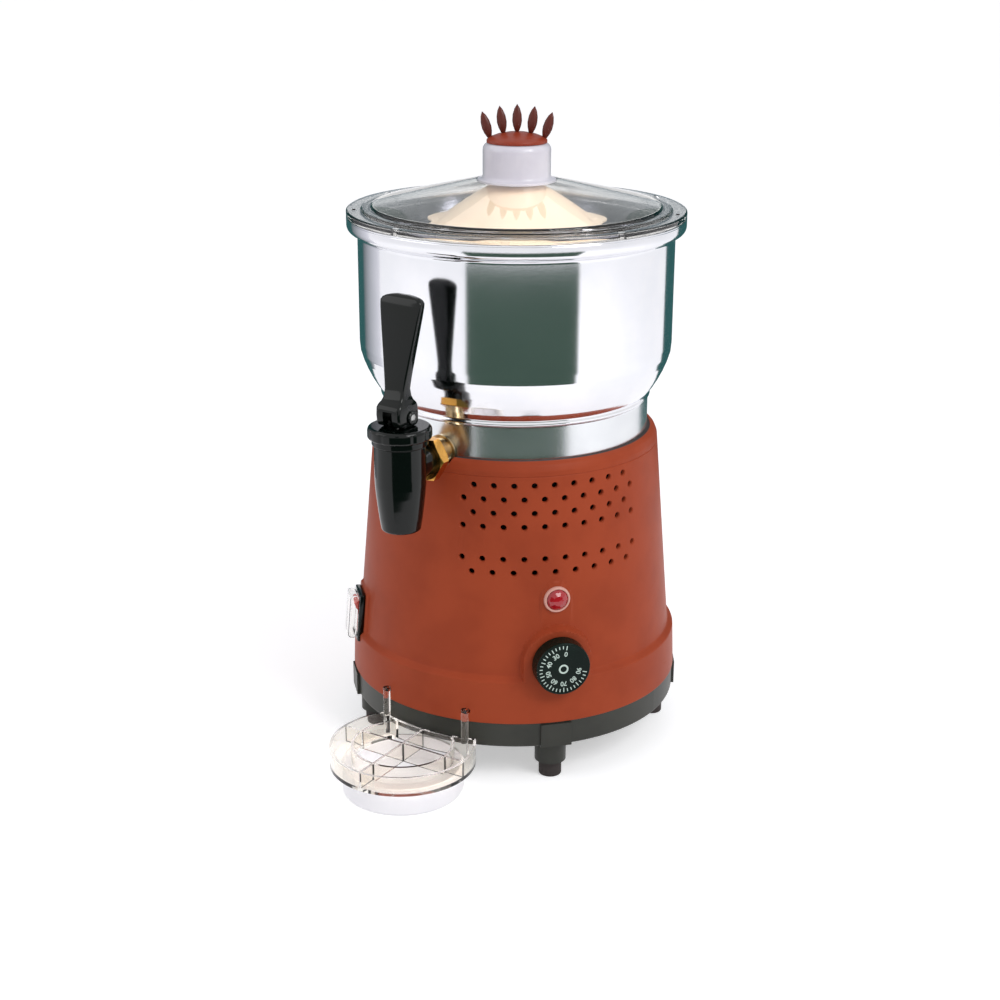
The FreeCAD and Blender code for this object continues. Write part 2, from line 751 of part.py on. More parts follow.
def dial_knob():
    back = dial_back()
    front = back + DIAL_THICKNESS
    small_r = DIAL_R - DIAL_TAPER
    knob = Part.makeCone(DIAL_R, small_r, DIAL_THICKNESS, vec(0, -back, DIAL_Z), vec(0, -1, 0))
    knob = knob.makeFillet(DIAL_EDGE, front_edges(knob, front))
    hollow = radial_rod(DIAL_R - DIAL_SHELL, front - DIAL_SHELL, back - 1, DIAL_Z)
    hub = radial_rod(THERMOSTAT_SHAFT_R + DIAL_HUB_WALL, front - 1, back + 1, DIAL_Z)
    socket = radial_rod(THERMOSTAT_SHAFT_R, front - DIAL_SHAFT_COVER, back - 1, DIAL_Z)
    return at_azimuth(knob.cut(hollow).fuse(hub).removeSplitter().cut(socket), DIAL_AZIMUTH)


def lamp_bezel():
    face = lamp_face()
    ring = radial_rod(LAMP_BEZEL_R, face + LAMP_BEZEL_PROUD, face, LAMP_Z)
    ring = ring.makeFillet(LAMP_BEZEL_EDGE, front_edges(ring, face + LAMP_BEZEL_PROUD))
    return at_azimuth(ring.cut(radial_rod(LAMP_LENS_R, face + 9, face - 1, LAMP_Z)), DIAL_AZIMUTH)


def lamp_lens():
    """Red lens: a short drum under a cone with eight flats."""
    face = lamp_face()
    drum = radial_rod(LAMP_LENS_R, face + LAMP_BEZEL_PROUD, face, LAMP_Z)
    turns = [math.radians(45 * i) for i in range(8)]
    wide = [vec(LAMP_LENS_R * math.cos(turn), 0, LAMP_LENS_R * math.sin(turn)) for turn in turns]
    narrow = [vec(0.5 * p.x, -LAMP_DOME_RISE, 0.5 * p.z) for p in wide]
    wires = [Part.makePolygon(ring + ring[:1]) for ring in (wide, narrow)]
    facets = Part.makeLoft(wires, True, True)
    facets.translate(vec(0, -(face + LAMP_BEZEL_PROUD), LAMP_Z))
    return at_azimuth(drum.fuse(facets).removeSplitter(), DIAL_AZIMUTH)


def lamp_body():
    face = lamp_face()
    return at_azimuth(radial_rod(LAMP_STEM_R, face, face - LAMP_STEM_LENGTH, LAMP_Z), DIAL_AZIMUTH)


def switch_tilt():
    """Backward lean of the switch, which follows the housing's sloping wall."""
    rise = 10.0
    return math.degrees(math.atan2(housing_radius(SWITCH_Z) - housing_radius(SWITCH_Z + rise), rise))


def on_switch_face(shape):
    """The shape moved from the upright face at the front of the machine to the leaning switch pad."""
    shape.rotate(vec(0, -SWITCH_FACE_R, SWITCH_Z), vec(1, 0, 0), -switch_tilt())
    return at_azimuth(shape, SWITCH_AZIMUTH)


def rocker_end_r():
    return math.hypot(ROCKER_TALL / 2, ROCKER_CREST)


def switch_frame():
    face = SWITCH_FACE_R
    front = face + SWITCH_FRAME_PROUD
    plate = block(SWITCH_WIDTH, SWITCH_FRAME_PROUD, SWITCH_TALL, (0, -(face + front) / 2, SWITCH_Z))
    plate = plate.makeFillet(SWITCH_EDGE, front_edges(plate, front))
    deep = SWITCH_DEPTH + 1
    centre = (0, -(face + 1 - deep / 2), SWITCH_Z)
    body = block(SWITCH_WIDTH - 2 * SWITCH_LIP, deep, SWITCH_TALL - 2 * SWITCH_LIP, centre)
    tall = 2 * (rocker_end_r() + ROCKER_GAP)
    room = front + 1 - (rocker_pivot() - ROCKER_ROOM)
    centre = (0, -(front + 1 - room / 2), SWITCH_Z)
    window = block(ROCKER_WIDTH + 2 * ROCKER_GAP, room, tall, centre)
    reach = SWITCH_WIDTH / 2 - SWITCH_CHEEK
    pivot = cross_rod(ROCKER_PIN_R + BUSH_PLAY, -reach, reach, -rocker_pivot(), SWITCH_Z)
    return on_switch_face(plate.fuse(body).removeSplitter().cut(window).cut(pivot))


def rocker_pivot():
    """Distance of the rocker's pivot from the machine's axis."""
    return SWITCH_FACE_R - ROCKER_PIVOT_IN


def switch_rocker():
    """Rocker with a shallow hollow face, resting with its lower end pressed in."""
    half = ROCKER_TALL / 2
    side = -ROCKER_WIDTH / 2
    face = [
        (side, ROCKER_BACK, -2 * half),
        (side, -ROCKER_CREST, -half),
        (side, -ROCKER_WAIST, 0),
        (side, -ROCKER_CREST, half),
        (side, ROCKER_BACK, 2 * half),
    ]
    blade = polygon_face(face).extrude(vec(ROCKER_WIDTH, 0, 0))
    drum = cross_rod(rocker_end_r(), side, -side)
    pin = cross_rod(ROCKER_PIN_R, side - ROCKER_PIN_OUT, ROCKER_PIN_OUT - side)
    rocker = blade.common(drum).fuse(pin).removeSplitter()
    rocker.rotate(vec(0, 0, 0), vec(1, 0, 0), ROCKER_TILT)
    rocker.translate(vec(0, -rocker_pivot(), SWITCH_Z))
    return on_switch_face(rocker)


def switch_boot():
    """Clear splash cover over the rocker, lipped onto the switch frame."""
    face = SWITCH_FACE_R + SWITCH_FRAME_PROUD
    front = face + BOOT_PROUD
    middle = -(face + front) / 2
    outer = block(BOOT_WIDTH, BOOT_PROUD, BOOT_TALL, (0, middle, SWITCH_Z))
    uprights = [edge for edge in outer.Edges if edge.BoundBox.YLength > BOOT_PROUD / 2]
    outer = outer.makeFillet(BOOT_ROUND, uprights + front_edges(outer, front))
    wide = BOOT_WIDTH - 2 * BOOT_WALL
    tall = BOOT_TALL - 2 * BOOT_WALL
    inner = block(wide, BOOT_PROUD, tall, (0, middle + BOOT_WALL, SWITCH_Z))
    return on_switch_face(outer.cut(inner))


# Jacket, bowl and column
def shoulder_radius(z, inset=0.0):
    """Radius of the rounded shoulder between collar and drum at height z."""
    swing = SHOULDER_ROUND_R - inset
    return DRUM_R - SHOULDER_ROUND_R + math.sqrt(swing * swing - (drum_z - z) ** 2)


def shoulder_height(radius, inset):
    """Height at which the shoulder, moved inwards by inset, has this radius."""
    swing = SHOULDER_ROUND_R - inset
    reach = radius - (DRUM_R - SHOULDER_ROUND_R)
    return drum_z - math.sqrt(swing * swing - reach * reach)


def shoulder_arc(low_z, inset):
    """Start point and arc step of the shoulder from low_z up to the drum."""
    middle = (low_z + drum_z) / 2
    start = (shoulder_radius(low_z, inset), low_z)
    return start, ("arc", (shoulder_radius(middle, inset), middle), (DRUM_R - inset, drum_z))


def water_jacket():
    """Outer steel vessel, standing on the chassis by its skirt, the bath's floor above the heater."""
    start, arc = shoulder_arc(shoulder_z, 0)
    bead_low, bead = corner_arc((start[0] - BEAD_R, shoulder_z - BEAD_R), BEAD_R, -90, 60)
    top = rim_top - BOWL_WALL
    outer = [
        (0, chassis_top),
        (COLLAR_R, chassis_top),
        (COLLAR_R, bead_low[1]),
        bead_low,
        bead,
        start,
        arc,
        (DRUM_R, drum_top),
        (RIM_R, rim_z),
        (RIM_R, top),
        (0, top),
    ]
    slope = FLARE_HEIGHT / (RIM_R - DRUM_R)
    lift = JACKET_WALL * (math.hypot(1, slope) - slope)
    inner_low = shoulder_height(COLLAR_R - JACKET_WALL, JACKET_WALL)
    start, arc = shoulder_arc(inner_low, JACKET_WALL)
    inner = [
        (0, tank_floor + JACKET_WALL),
        (COLLAR_R - JACKET_WALL, tank_floor + JACKET_WALL),
        start,
        arc,
        (DRUM_R - JACKET_WALL, drum_top + lift),
        (RIM_R - JACKET_WALL, rim_z + lift),
        (RIM_R - JACKET_WALL, top + 1),
        (0, top + 1),
    ]
    shell = turned(outer).cut(turned(inner))
    shell = shell.cut(rod(COLLAR_R - JACKET_WALL, chassis_top - 1, tank_floor))
    shell = shell.cut(rod(COLUMN_R, tank_floor - 1, tank_floor + 5))
    return shell.cut(radial_rod(NIPPLE_R, COLLAR_R + 5, COLLAR_R - 10, inlet_z))


def bowl_radius():
    """Outer radius of the product bowl's lower wall."""
    return COLLAR_R - JACKET_WALL - BOWL_GAP


def bowl_outline(extra):
    """Outline of the product bowl from the axis up, its outside moved inwards by extra."""
    inset = JACKET_WALL + BOWL_GAP + extra
    low_r = COLLAR_R - inset
    start, arc = shoulder_arc(shoulder_height(low_r, inset), inset)
    corner_r = BOWL_CORNER_R - extra
    floor = bowl_floor + extra
    top = rim_top + extra
    corner, bend = corner_arc((low_r - corner_r, floor + corner_r), corner_r, -90, 0)
    return [(0, floor), corner, bend, start, arc, (DRUM_R - inset, top), (0, top)]


def product_bowl():
    flange = rod(RIM_R, rim_top - BOWL_WALL, rim_top)
    bowl = turned(bowl_outline(0)).common(rod(RIM_R, 0, rim_top)).fuse(flange).removeSplitter()
    bowl = bowl.cut(turned(bowl_outline(BOWL_WALL)))
    bowl = bowl.cut(rod(COLUMN_R, bowl_floor - 1, bowl_floor + 5))
    return bowl.cut(radial_rod(NIPPLE_R, COLLAR_R, bowl_radius() - 10, inlet_z))


def column_tube():
    return tube(COLUMN_R, COLUMN_R - COLUMN_WALL, chassis_top, column_top)


# Heating
def heating_element():
    """Sheathed ring under the bath, flattened where it is brazed on, with two tails through the chassis."""
    centre_z = tank_floor - HEATER_TUBE_R + HEATER_FLAT
    section = Part.Wire(Part.makeCircle(HEATER_TUBE_R, vec(HEATER_RING_R, 0, centre_z), vec(0, 1, 0)))
    ring = Part.Face(section).revolve(vec(0, 0, 0), UP, 360 - HEATER_GAP_DEG)
    ring.rotate(vec(0, 0, 0), UP, HEATER_GAP_DEG / 2)
    tails = [rod(HEATER_TUBE_R, chassis_z - HEATER_TAIL, centre_z, x, y) for x, y in heater_tail_places()]
    return joined([ring] + tails).common(rod(CHASSIS_R, 0, tank_floor))


def heater_tail_places():
    turn = math.radians(HEATER_GAP_DEG / 2)
    x = HEATER_RING_R * math.cos(turn)
    y = HEATER_RING_R * math.sin(turn)
    return [(x, y), (x, -y)]


def safety_cutout():
    x, y = polar(CUTOUT_PLACE_R, 180)
    return rod(CUTOUT_R, tank_floor - CUTOUT_HEIGHT, tank_floor, x, y)


# Gear motor
def spur_gear(teeth, z_low, z_high, phase_deg=0.0):
    """Involute spur gear blank on the Z axis; phase_deg turns the tooth that lies on +Y."""
    pitch_r = GEAR_MODULE * teeth / 2
    base_r = pitch_r * math.cos(math.radians(20))
    root_r = pitch_r - 1.25 * GEAR_MODULE
    tip_r = pitch_r + GEAR_MODULE
    involute = math.tan(math.radians(20)) - math.radians(20)
    half_pitch = math.pi / (2 * teeth) - GEAR_BACKLASH / pitch_r

    def half_angle(radius):
        pressure = math.acos(min(1.0, base_r / radius))
        return half_pitch + involute - (math.tan(pressure) - pressure)

    flank = [max(base_r, root_r + 0.1), (base_r + pitch_r) / 2, pitch_r, (pitch_r + tip_r) / 2]
    radii = sorted(set(round(r, 4) for r in [root_r] + flank + [tip_r]))
    points = []
    for i in range(teeth):
        middle = math.radians(90 + phase_deg) + 2 * math.pi * i / teeth
        points += [(r, middle - half_angle(r)) for r in radii]
        points += [(r, middle + half_angle(r)) for r in reversed(radii)]
    face = polygon_face([(r * math.cos(turn), r * math.sin(turn), z_low) for r, turn in points])
    return face.extrude(vec(0, 0, z_high - z_low))


def centre_distance():
    return GEAR_MODULE * (PINION_TEETH + WHEEL_TEETH) / 2


def output_wheel():
    """Last wheel of the train, on the drive shaft; a gap between teeth faces the idler."""
    wheel = spur_gear(WHEEL_TEETH, output_wheel_z, output_wheel_z + GEAR_FACE, 180.0 / WHEEL_TEETH)
    return wheel.cut(rod(SHAFT_R, output_wheel_z - 1, output_wheel_z + GEAR_FACE + 1))


def idler_gear():
    """Wheel and pinion in one piece, turning on the idler pin behind the axis."""
    wheel = spur_gear(WHEEL_TEETH, idler_wheel_z, idler_wheel_z + GEAR_FACE, 180.0 / WHEEL_TEETH)
    pinion_top = output_wheel_z + GEAR_FACE + PINION_EXTRA / 2
    pinion = spur_gear(PINION_TEETH, idler_wheel_z + GEAR_FACE, pinion_top)
    gear = wheel.fuse(pinion).removeSplitter()
    gear = gear.cut(rod(IDLER_PIN_R + BUSH_PLAY, idler_wheel_z - 1, pinion_top + 1))
    gear.translate(vec(0, centre_distance(), 0))
    return gear


def motor_rotor():
    """Rotor core, shaft and the pinion cut on the shaft's end."""
    low = idler_wheel_z - PINION_EXTRA / 2
    pinion = spur_gear(PINION_TEETH, low, low + GEAR_FACE + PINION_EXTRA)
    shaft = rod(MOTOR_SHAFT_R, motor_z + MOTOR_WALL, idler_wheel_z)
    middle = motor_z + MOTOR_LENGTH / 2
    core = rod(ROTOR_R, middle - ROTOR_LENGTH / 2, middle + ROTOR_LENGTH / 2)
    return joined([shaft, core, pinion])


def motor_can():
    can = rod(MOTOR_R, motor_z, gearbox_z - GEARBOX_WALL)
    can = can.makeFillet(MOTOR_EDGE, bottom_edges(can, motor_z))
    can = can.cut(rod(MOTOR_R - MOTOR_WALL, motor_z + 2 * MOTOR_WALL, gearbox_z))
    return can.cut(rod(MOTOR_SHAFT_R + BUSH_PLAY, motor_z + MOTOR_WALL - 0.5, gearbox_z))


def motor_stator():
    middle = motor_z + MOTOR_LENGTH / 2
    half = ROTOR_LENGTH / 2 + STATOR_EXTRA
    return tube(MOTOR_R - MOTOR_WALL, ROTOR_R + ROTOR_GAP, middle - half, middle + half)


def motor_end_plate():
    plate = rod(MOTOR_R, gearbox_z - GEARBOX_WALL, gearbox_z)
    holes = [rod(MOTOR_SHAFT_R + BUSH_PLAY, gearbox_z - 10, gearbox_z + 1)]
    holes += [rod(MOTOR_SCREW_R, gearbox_z - 10, gearbox_z + 1, x, 0) for x in motor_screw_xs()]
    return plate.cut(group(holes))


def motor_screw_xs():
    return -MOTOR_SCREW_X, MOTOR_SCREW_X


def motor_screws():
    """Screws down through the gearbox floor into the motor's end plate."""
    floor = gearbox_z + GEARBOX_WALL
    screws = []
    for x in motor_screw_xs():
        head = rod(MOTOR_SCREW_R + 1.2, floor, floor + 1.4, x, 0)
        shank = rod(MOTOR_SCREW_R, gearbox_z - GEARBOX_WALL, floor + 0.5, x, 0)
        screws.append(head.fuse(shank).removeSplitter())
    return group(screws)


def gearbox_outline(inset, z_low, z_high):
    """Oval prism round both gear centres, with ears for the screws when nothing is taken off."""
    radius = GEAR_MODULE * (WHEEL_TEETH / 2 + 1) + GEARBOX_TIP_ROOM + GEARBOX_WALL - inset
    reach = centre_distance()
    ends = [rod(radius, z_low, z_high), rod(radius, z_low, z_high, 0, reach)]
    return joined(ends + [block(2 * radius, reach, z_high - z_low, (0, reach / 2, (z_low + z_high) / 2))])


def gearbox_screw_places():
    out = GEAR_MODULE * (WHEEL_TEETH / 2 + 1) + GEARBOX_TIP_ROOM + GEARBOX_WALL
    return [(x, y) for x in (-out, out) for y in (0, centre_distance())]


def gearbox_case():
    top = gearbox_top - GEARBOX_WALL
    case = gearbox_outline(0, gearbox_z, top)
    low = top - GEARBOX_EAR_DEPTH
    ears = [rod(GEARBOX_EAR_R, low, top, x, y) for x, y in gearbox_screw_places()]
    case = joined([case] + ears).cut(gearbox_outline(GEARBOX_WALL, gearbox_z + GEARBOX_WALL, gearbox_top))
    holes = [rod(MOTOR_SHAFT_R + MOTOR_SHAFT_ROOM, gearbox_z - 1, gearbox_top)]
    holes.append(rod(IDLER_PIN_R, gearbox_z, gearbox_top, 0, centre_distance()))
    holes += [rod(MOTOR_SCREW_R, gearbox_z - 1, gearbox_top, x, 0) for x in motor_screw_xs()]
    holes += [rod(GEARBOX_SCREW_R, gearbox_z - 1, gearbox_top, x, y) for x, y in gearbox_screw_places()]
    return case.cut(group(holes))


def gearbox_cover():
    low = gearbox_top - GEARBOX_WALL
    cover = gearbox_outline(0, low, gearbox_top)
    ears = [rod(GEARBOX_EAR_R, low, gearbox_top, x, y) for x, y in gearbox_screw_places()]
    holes = [rod(BUSH_R, gearbox_z, gearbox_top + 1)]
    holes.append(rod(IDLER_PIN_R, gearbox_z, gearbox_top + 1, 0, centre_distance()))
    holes += [rod(GEARBOX_SCREW_R, gearbox_z, gearbox_top + 1, x, y) for x, y in gearbox_screw_places()]
    return joined([cover] + ears).cut(group(holes))


def gearbox_screws():
    """Screws down through chassis and cover into the gearbox ears."""
    screws = []
    for x, y in gearbox_screw_places():
        head = rod(GEARBOX_SCREW_R + 1.6, chassis_top, chassis_top + 2, x, y)
        foot = gearbox_top - GEARBOX_WALL - GEARBOX_EAR_DEPTH
        shank = rod(GEARBOX_SCREW_R, foot, chassis_top + 1, x, y)
        screws.append(head.fuse(shank).removeSplitter())
    return group(screws)


def idler_pin():
    return rod(IDLER_PIN_R, gearbox_z, gearbox_top, 0, centre_distance())


def lower_bush():
    return tube(BUSH_R, SHAFT_R + BUSH_PLAY, output_wheel_z + GEAR_FACE + 0.5, chassis_top)


def upper_bush():
    return tube(COLUMN_R - COLUMN_WALL, SHAFT_R + BUSH_PLAY, column_top - BUSH_LENGTH, column_top)


def shaft_seal():
    return tube(COLUMN_R, SHAFT_R + BUSH_PLAY, column_top, column_top + SEAL_HEIGHT)


def drive_shaft():
    shaft = rod(SHAFT_R, output_wheel_z - 0.5, hub_z)
    return shaft.fuse(hexagon(DRIVE_FLATS, hub_z, hub_z + DRIVE_LENGTH)).removeSplitter()


# Stirrer
def stirrer_sleeve():
    """Sleeve round the column with its paddles, closed on top by the driving hub."""
    inner = COLUMN_R + SLEEVE_GAP
    outer = inner + SLEEVE_WALL
    low = bowl_floor + BOWL_WALL + PADDLE_LIFT
    sleeve = rod(outer, low, cone_top - CONE_WALL)
    reach = PADDLE_REACH - inner - 1
    centre = (0, -(inner + 1 + reach / 2), low + PADDLE_HEIGHT / 2)
    paddle = block(PADDLE_THICKNESS, reach, PADDLE_HEIGHT, centre)
    paddles = [at_azimuth(paddle, 180 + 360 * i / PADDLE_COUNT) for i in range(PADDLE_COUNT)]
    sleeve = joined([sleeve] + paddles).cut(rod(inner, low - 1, hub_z))
    return sleeve.cut(hexagon(DRIVE_FLATS + 2 * DRIVE_GAP, hub_z - 1, hub_z + DRIVE_LENGTH + DRIVE_GAP))


def stirrer_cone():
    """Thin cone with rounded lobes round its foot, sitting on the hub."""
    slope = CONE_RISE / (CONE_BASE_R - CONE_TOP_R)
    foot = cone_top - CONE_RISE
    under = CONE_WALL * math.hypot(1, slope)
    cone = turned([(0, foot), (CONE_BASE_R, foot), (CONE_TOP_R, cone_top), (0, cone_top)])
    lobes = []
    for i in range(CONE_LOBES):
        x, y = polar(CONE_BASE_R, 360 * (i + 0.5) / CONE_LOBES)
        lobes.append(rod(CONE_LOBE_R, foot, foot + CONE_WALL, x, y))
    edge_r = CONE_BASE_R - CONE_EDGE
    hollow = turned([
        (0, foot - 1),
        (edge_r, foot - 1),
        (edge_r, foot + CONE_EDGE * slope - under + CONE_WALL),
        (CONE_TOP_R, cone_top - under),
        (CONE_TOP_R - 3, cone_top - CONE_WALL),
        (0, cone_top - CONE_WALL),
    ])
    return joined([cone] + lobes).cut(hollow)


# Lid, cap and ornament
def lid_outline():
    dome_z = lid_top + 2 * LID_STEP_RISE
    neck_z = dome_z + LID_DOME_RISE
    neck_in = NECK_R - NECK_WALL
    centre = (NECK_R - NECK_ROUND, neck_top - NECK_ROUND)
    round_start, round_bend = corner_arc(centre, NECK_ROUND, 0, 90)
    slope = LID_DOME_RISE / (LID_STEP_R[1] - LID_DOME_TOP_R)
    ring_out = bowl_radius_at_rim() - LID_RING_GAP
    ring_in = ring_out - LID_WALL
    under = LID_WALL * math.hypot(1, slope)
    return [
        (RIM_R, rim_top),
        (RIM_R, lid_top),
        (LID_STEP_R[0], lid_top),
        (LID_STEP_R[0], lid_top + LID_STEP_RISE),
        (LID_STEP_R[1], lid_top + LID_STEP_RISE),
        (LID_STEP_R[1], dome_z),
        (LID_DOME_TOP_R, neck_z),
        (NECK_R, neck_z),
        round_start,
        round_bend,
        (neck_in, neck_top),
        (neck_in, neck_z - under),
        (LID_DOME_TOP_R, neck_z - under),
        (ring_in, neck_z - under - slope * (ring_in - LID_DOME_TOP_R)),
        (ring_in, rim_top - LID_RING_DEPTH),
        (ring_out, rim_top - LID_RING_DEPTH),
        (ring_out, rim_top),
    ]


def bowl_radius_at_rim():
    """Inner radius of the product bowl where the lid drops in."""
    return DRUM_R - JACKET_WALL - BOWL_GAP - BOWL_WALL


def lid():
    centre = (0, -SLOT_CIRCLE_R, (rim_top + lid_top) / 2)
    slot = block(SLOT_LENGTH, SLOT_WIDTH, LID_FLANGE_HEIGHT + 2, centre)
    slots = [at_azimuth(slot, SLOT_PHASE + 360.0 * i / SLOT_COUNT) for i in range(SLOT_COUNT)]
    return turned(lid_outline()).cut(group(slots))


def cap_dome_radius():
    return (CAP_R * CAP_R + CAP_DOME_RISE * CAP_DOME_RISE) / (2 * CAP_DOME_RISE)


def ornament_leaf(x, tilt):
    """One upright leaf, pointed at both ends, standing on the cap at x."""
    dome = cap_dome_radius()
    base = neck_top + CAP_SKIRT + CAP_DOME_RISE - dome + math.sqrt(dome * dome - x * x)
    half = ORNAMENT_TALL / 2
    bow = (half * half + (ORNAMENT_WIDE / 2) ** 2) / ORNAMENT_WIDE
    offset = bow - ORNAMENT_WIDE / 2
    left = Part.makeCylinder(bow, ORNAMENT_THICK, vec(-offset, -ORNAMENT_THICK / 2, half), vec(0, 1, 0))
    right = Part.makeCylinder(bow, ORNAMENT_THICK, vec(offset, -ORNAMENT_THICK / 2, half), vec(0, 1, 0))
    leaf = left.common(right)
    leaf.rotate(vec(0, 0, 0), vec(0, 1, 0), tilt)
    leaf.translate(vec(x, 0, base - ORNAMENT_SINK))
    return leaf


def cap_ornament():
    """Row of plain leaves fanned out on the cap."""
    leaves = []
    for i in range(ORNAMENT_COUNT):
        place = 2 * i / (ORNAMENT_COUNT - 1) - 1
        leaves.append(ornament_leaf(place * ORNAMENT_SPREAD, place * ORNAMENT_FAN_DEG / 2))
    return at_azimuth(group(leaves), CAP_TURN)


def lid_cap():
    """Domed cap on the neck with a hollow plug that reaches down into it."""
    base = neck_top
    dome = cap_dome_radius()
    crown = base + CAP_SKIRT + CAP_DOME_RISE
    half_angle = math.degrees(math.asin(CAP_R / dome))
    edge, over = corner_arc((0, crown - dome), dome, 90 - half_angle, 90)
    plug_r = NECK_R - NECK_WALL - PLUG_GAP
    foot = base - PLUG_DEPTH
    solid = turned([(0, foot), (plug_r, foot), (plug_r, base), (CAP_R, base), edge, over])
    hollow = rod(plug_r - PLUG_WALL, foot - 1, base + CAP_SKIRT - 1)
    return solid.cut(hollow).cut(cap_ornament())


# Tap
def placed_on_tap(shape):
    moved = shape.copy()
    moved.translate(vec(0, -TAP_REACH, 0))
    return moved


def tap_body():
    """Upright body with the spout below, the valve seat inside and the inlet boss towards the machine."""
    low = inlet_z - TAP_SPOUT_DROP
    head = inlet_z + TAP_HEAD_RISE
    waist = head - TAP_STRAIGHT
    top = head + TAP_SPIGOT_HEIGHT
    lip, bend = corner_arc((TAP_SPOUT_R - TAP_LIP, low + TAP_LIP), TAP_LIP, -90, 0)
    outer = turned([
        (0, low),
        lip,
        bend,
        ("arc", (TAP_MIDDLE_R, (low + waist) / 2), (TAP_BODY_R, waist)),
        (TAP_BODY_R, head),
        (TAP_SPIGOT_R, head),
        (TAP_SPIGOT_R, top),
        (0, top),
    ])
    outer = placed_on_tap(outer)
    boss = radial_rod(INLET_BOSS_R, TAP_REACH, INLET_BOSS_END, inlet_z)
    seat = inlet_z - TAP_SEAT_DROP
    upright_bores = [
        rod(TAP_SPOUT_BORE_R, low - 1, seat - TAP_SEAT_THICKNESS, 0, -TAP_REACH),
        rod(TAP_SEAT_R, low, seat + 1, 0, -TAP_REACH),
        rod(TAP_CHAMBER_R, seat, top + 1, 0, -TAP_REACH),
    ]
    inlet_bore = radial_rod(INLET_BORE_R, TAP_REACH, INLET_BOSS_END - 1, inlet_z)
    socket = radial_rod(NIPPLE_R, INLET_BOSS_END + NIPPLE_SOCKET, INLET_BOSS_END - 1, inlet_z)
    return joined([outer, boss]).cut(group(upright_bores)).cut(inlet_bore).cut(socket)


def bonnet():
    """Collar nut on top of the tap body, with the stem's guide hole in its web."""
    head = inlet_z + TAP_HEAD_RISE
    flange = rod(BONNET_R, head + BONNET_FOOT_HEIGHT, bonnet_top)
    flange = flange.makeFillet(BONNET_ROUND, top_edges(flange, bonnet_top))
    flange = flange.makeChamfer(BONNET_ROUND / 2, bottom_edges(flange, head + BONNET_FOOT_HEIGHT))
    nut = flange.fuse(rod(BONNET_FOOT_R, head, bonnet_top - BONNET_ROUND)).removeSplitter()
    nut = nut.cut(rod(TAP_SPIGOT_R + BONNET_FIT, head - 1, bonnet_top - BONNET_WEB))
    return placed_on_tap(nut.cut(rod(STEM_R + STEM_GUIDE_GAP, head, bonnet_top + 1)))


def bonnet_gasket():
    head = inlet_z + TAP_HEAD_RISE + TAP_SPIGOT_HEIGHT
    return placed_on_tap(tube(TAP_SPIGOT_R, TAP_CHAMBER_R, head, bonnet_top - BONNET_WEB))


def valve_stem():
    """Round stem with a spring flange at its foot and a flat eye for the lever pin at its head."""
    foot = inlet_z - TAP_SEAT_DROP + PLUNGER_THICKNESS
    stem = rod(STEM_R, foot, pin_z)
    flange = rod(SPRING_COIL_R + 1, foot, foot + STEM_FLANGE)
    eye = cross_rod(STEM_HEAD_R, -STEM_HEAD_THICKNESS / 2, STEM_HEAD_THICKNESS / 2, 0, pin_z)
    hole = cross_rod(PIN_R, -STEM_HEAD_THICKNESS, STEM_HEAD_THICKNESS, 0, pin_z)
    return placed_on_tap(joined([stem, flange, eye]).cut(hole))


def plunger_seal():
    seat = inlet_z - TAP_SEAT_DROP
    return placed_on_tap(rod(PLUNGER_R, seat, seat + PLUNGER_THICKNESS))


def tap_spring():
    """Open coil between the stem's flange and the bonnet's web."""
    low = inlet_z - TAP_SEAT_DROP + PLUNGER_THICKNESS + STEM_FLANGE + SPRING_WIRE_R
    high = bonnet_top - BONNET_WEB - SPRING_WIRE_R
    path = Part.makeHelix((high - low) / SPRING_TURNS, high - low, SPRING_COIL_R)
    section = Part.Wire(Part.makeCircle(SPRING_WIRE_R, vec(SPRING_COIL_R, 0, 0), vec(0, 1, 0)))
    coil = Part.Wire(path).makePipeShell([section], True, True)
    coil.translate(vec(0, 0, low))
    return placed_on_tap(coil)


def lever_pin():
    half = FORK_WIDTH / 2 + PIN_BOSS_PROUD
    return placed_on_tap(cross_rod(PIN_R, -half, half, 0, pin_z))


def cam_points():
    """Bottom of the fork: the heel whose distance to the pin grows evenly with the lever's angle."""
    rate = STEM_LIFT / math.radians(LEVER_THROW_DEG)
    flat = PIN_HEIGHT - CAM_GAP
    points = []
    for share in (0, 0.5, 1):
        angle = math.radians(LEVER_THROW_DEG) * share
        support = flat + rate * angle
        y = -support * math.sin(angle) - rate * math.cos(angle)
        z = -support * math.cos(angle) + rate * math.sin(angle)
        points.append((y, z))
    return points


def lever_side():
    """Side outline of the lever about its pin, as a face in the YZ plane."""
    start, middle, end = cam_points()
    flat = start[1]
    front = -FORK_FRONT
    neck_front = -LEVER_NECK_DEPTH * 0.7
    neck_back = LEVER_NECK_DEPTH * 0.3
    top_front = neck_front + LEVER_LEAN
    points = [
        (start[0], flat),
        ("arc", middle, end),
        (front, end[1] + FORK_CHIN),
        (front, FORK_BROW_Z),
        (neck_front - 1.2, LEVER_NECK_Z - 4.0),
        (neck_front, LEVER_NECK_Z + 4.0),
        (top_front, LEVER_HEIGHT),
        (top_front + LEVER_TOP_DEPTH, LEVER_HEIGHT),
        (neck_back, LEVER_NECK_Z + 2.0),
        (neck_back + 1.5, LEVER_NECK_Z - 6.0),
        (FORK_BACK, FORK_NAPE_Z),
        (FORK_BACK, flat + FORK_HEEL),
        (FORK_BACK - FORK_HEEL, flat),
    ]
    face = Part.Face(outline_wire(points))
    face.rotate(vec(0, 0, 0), UP, 90)
    return face


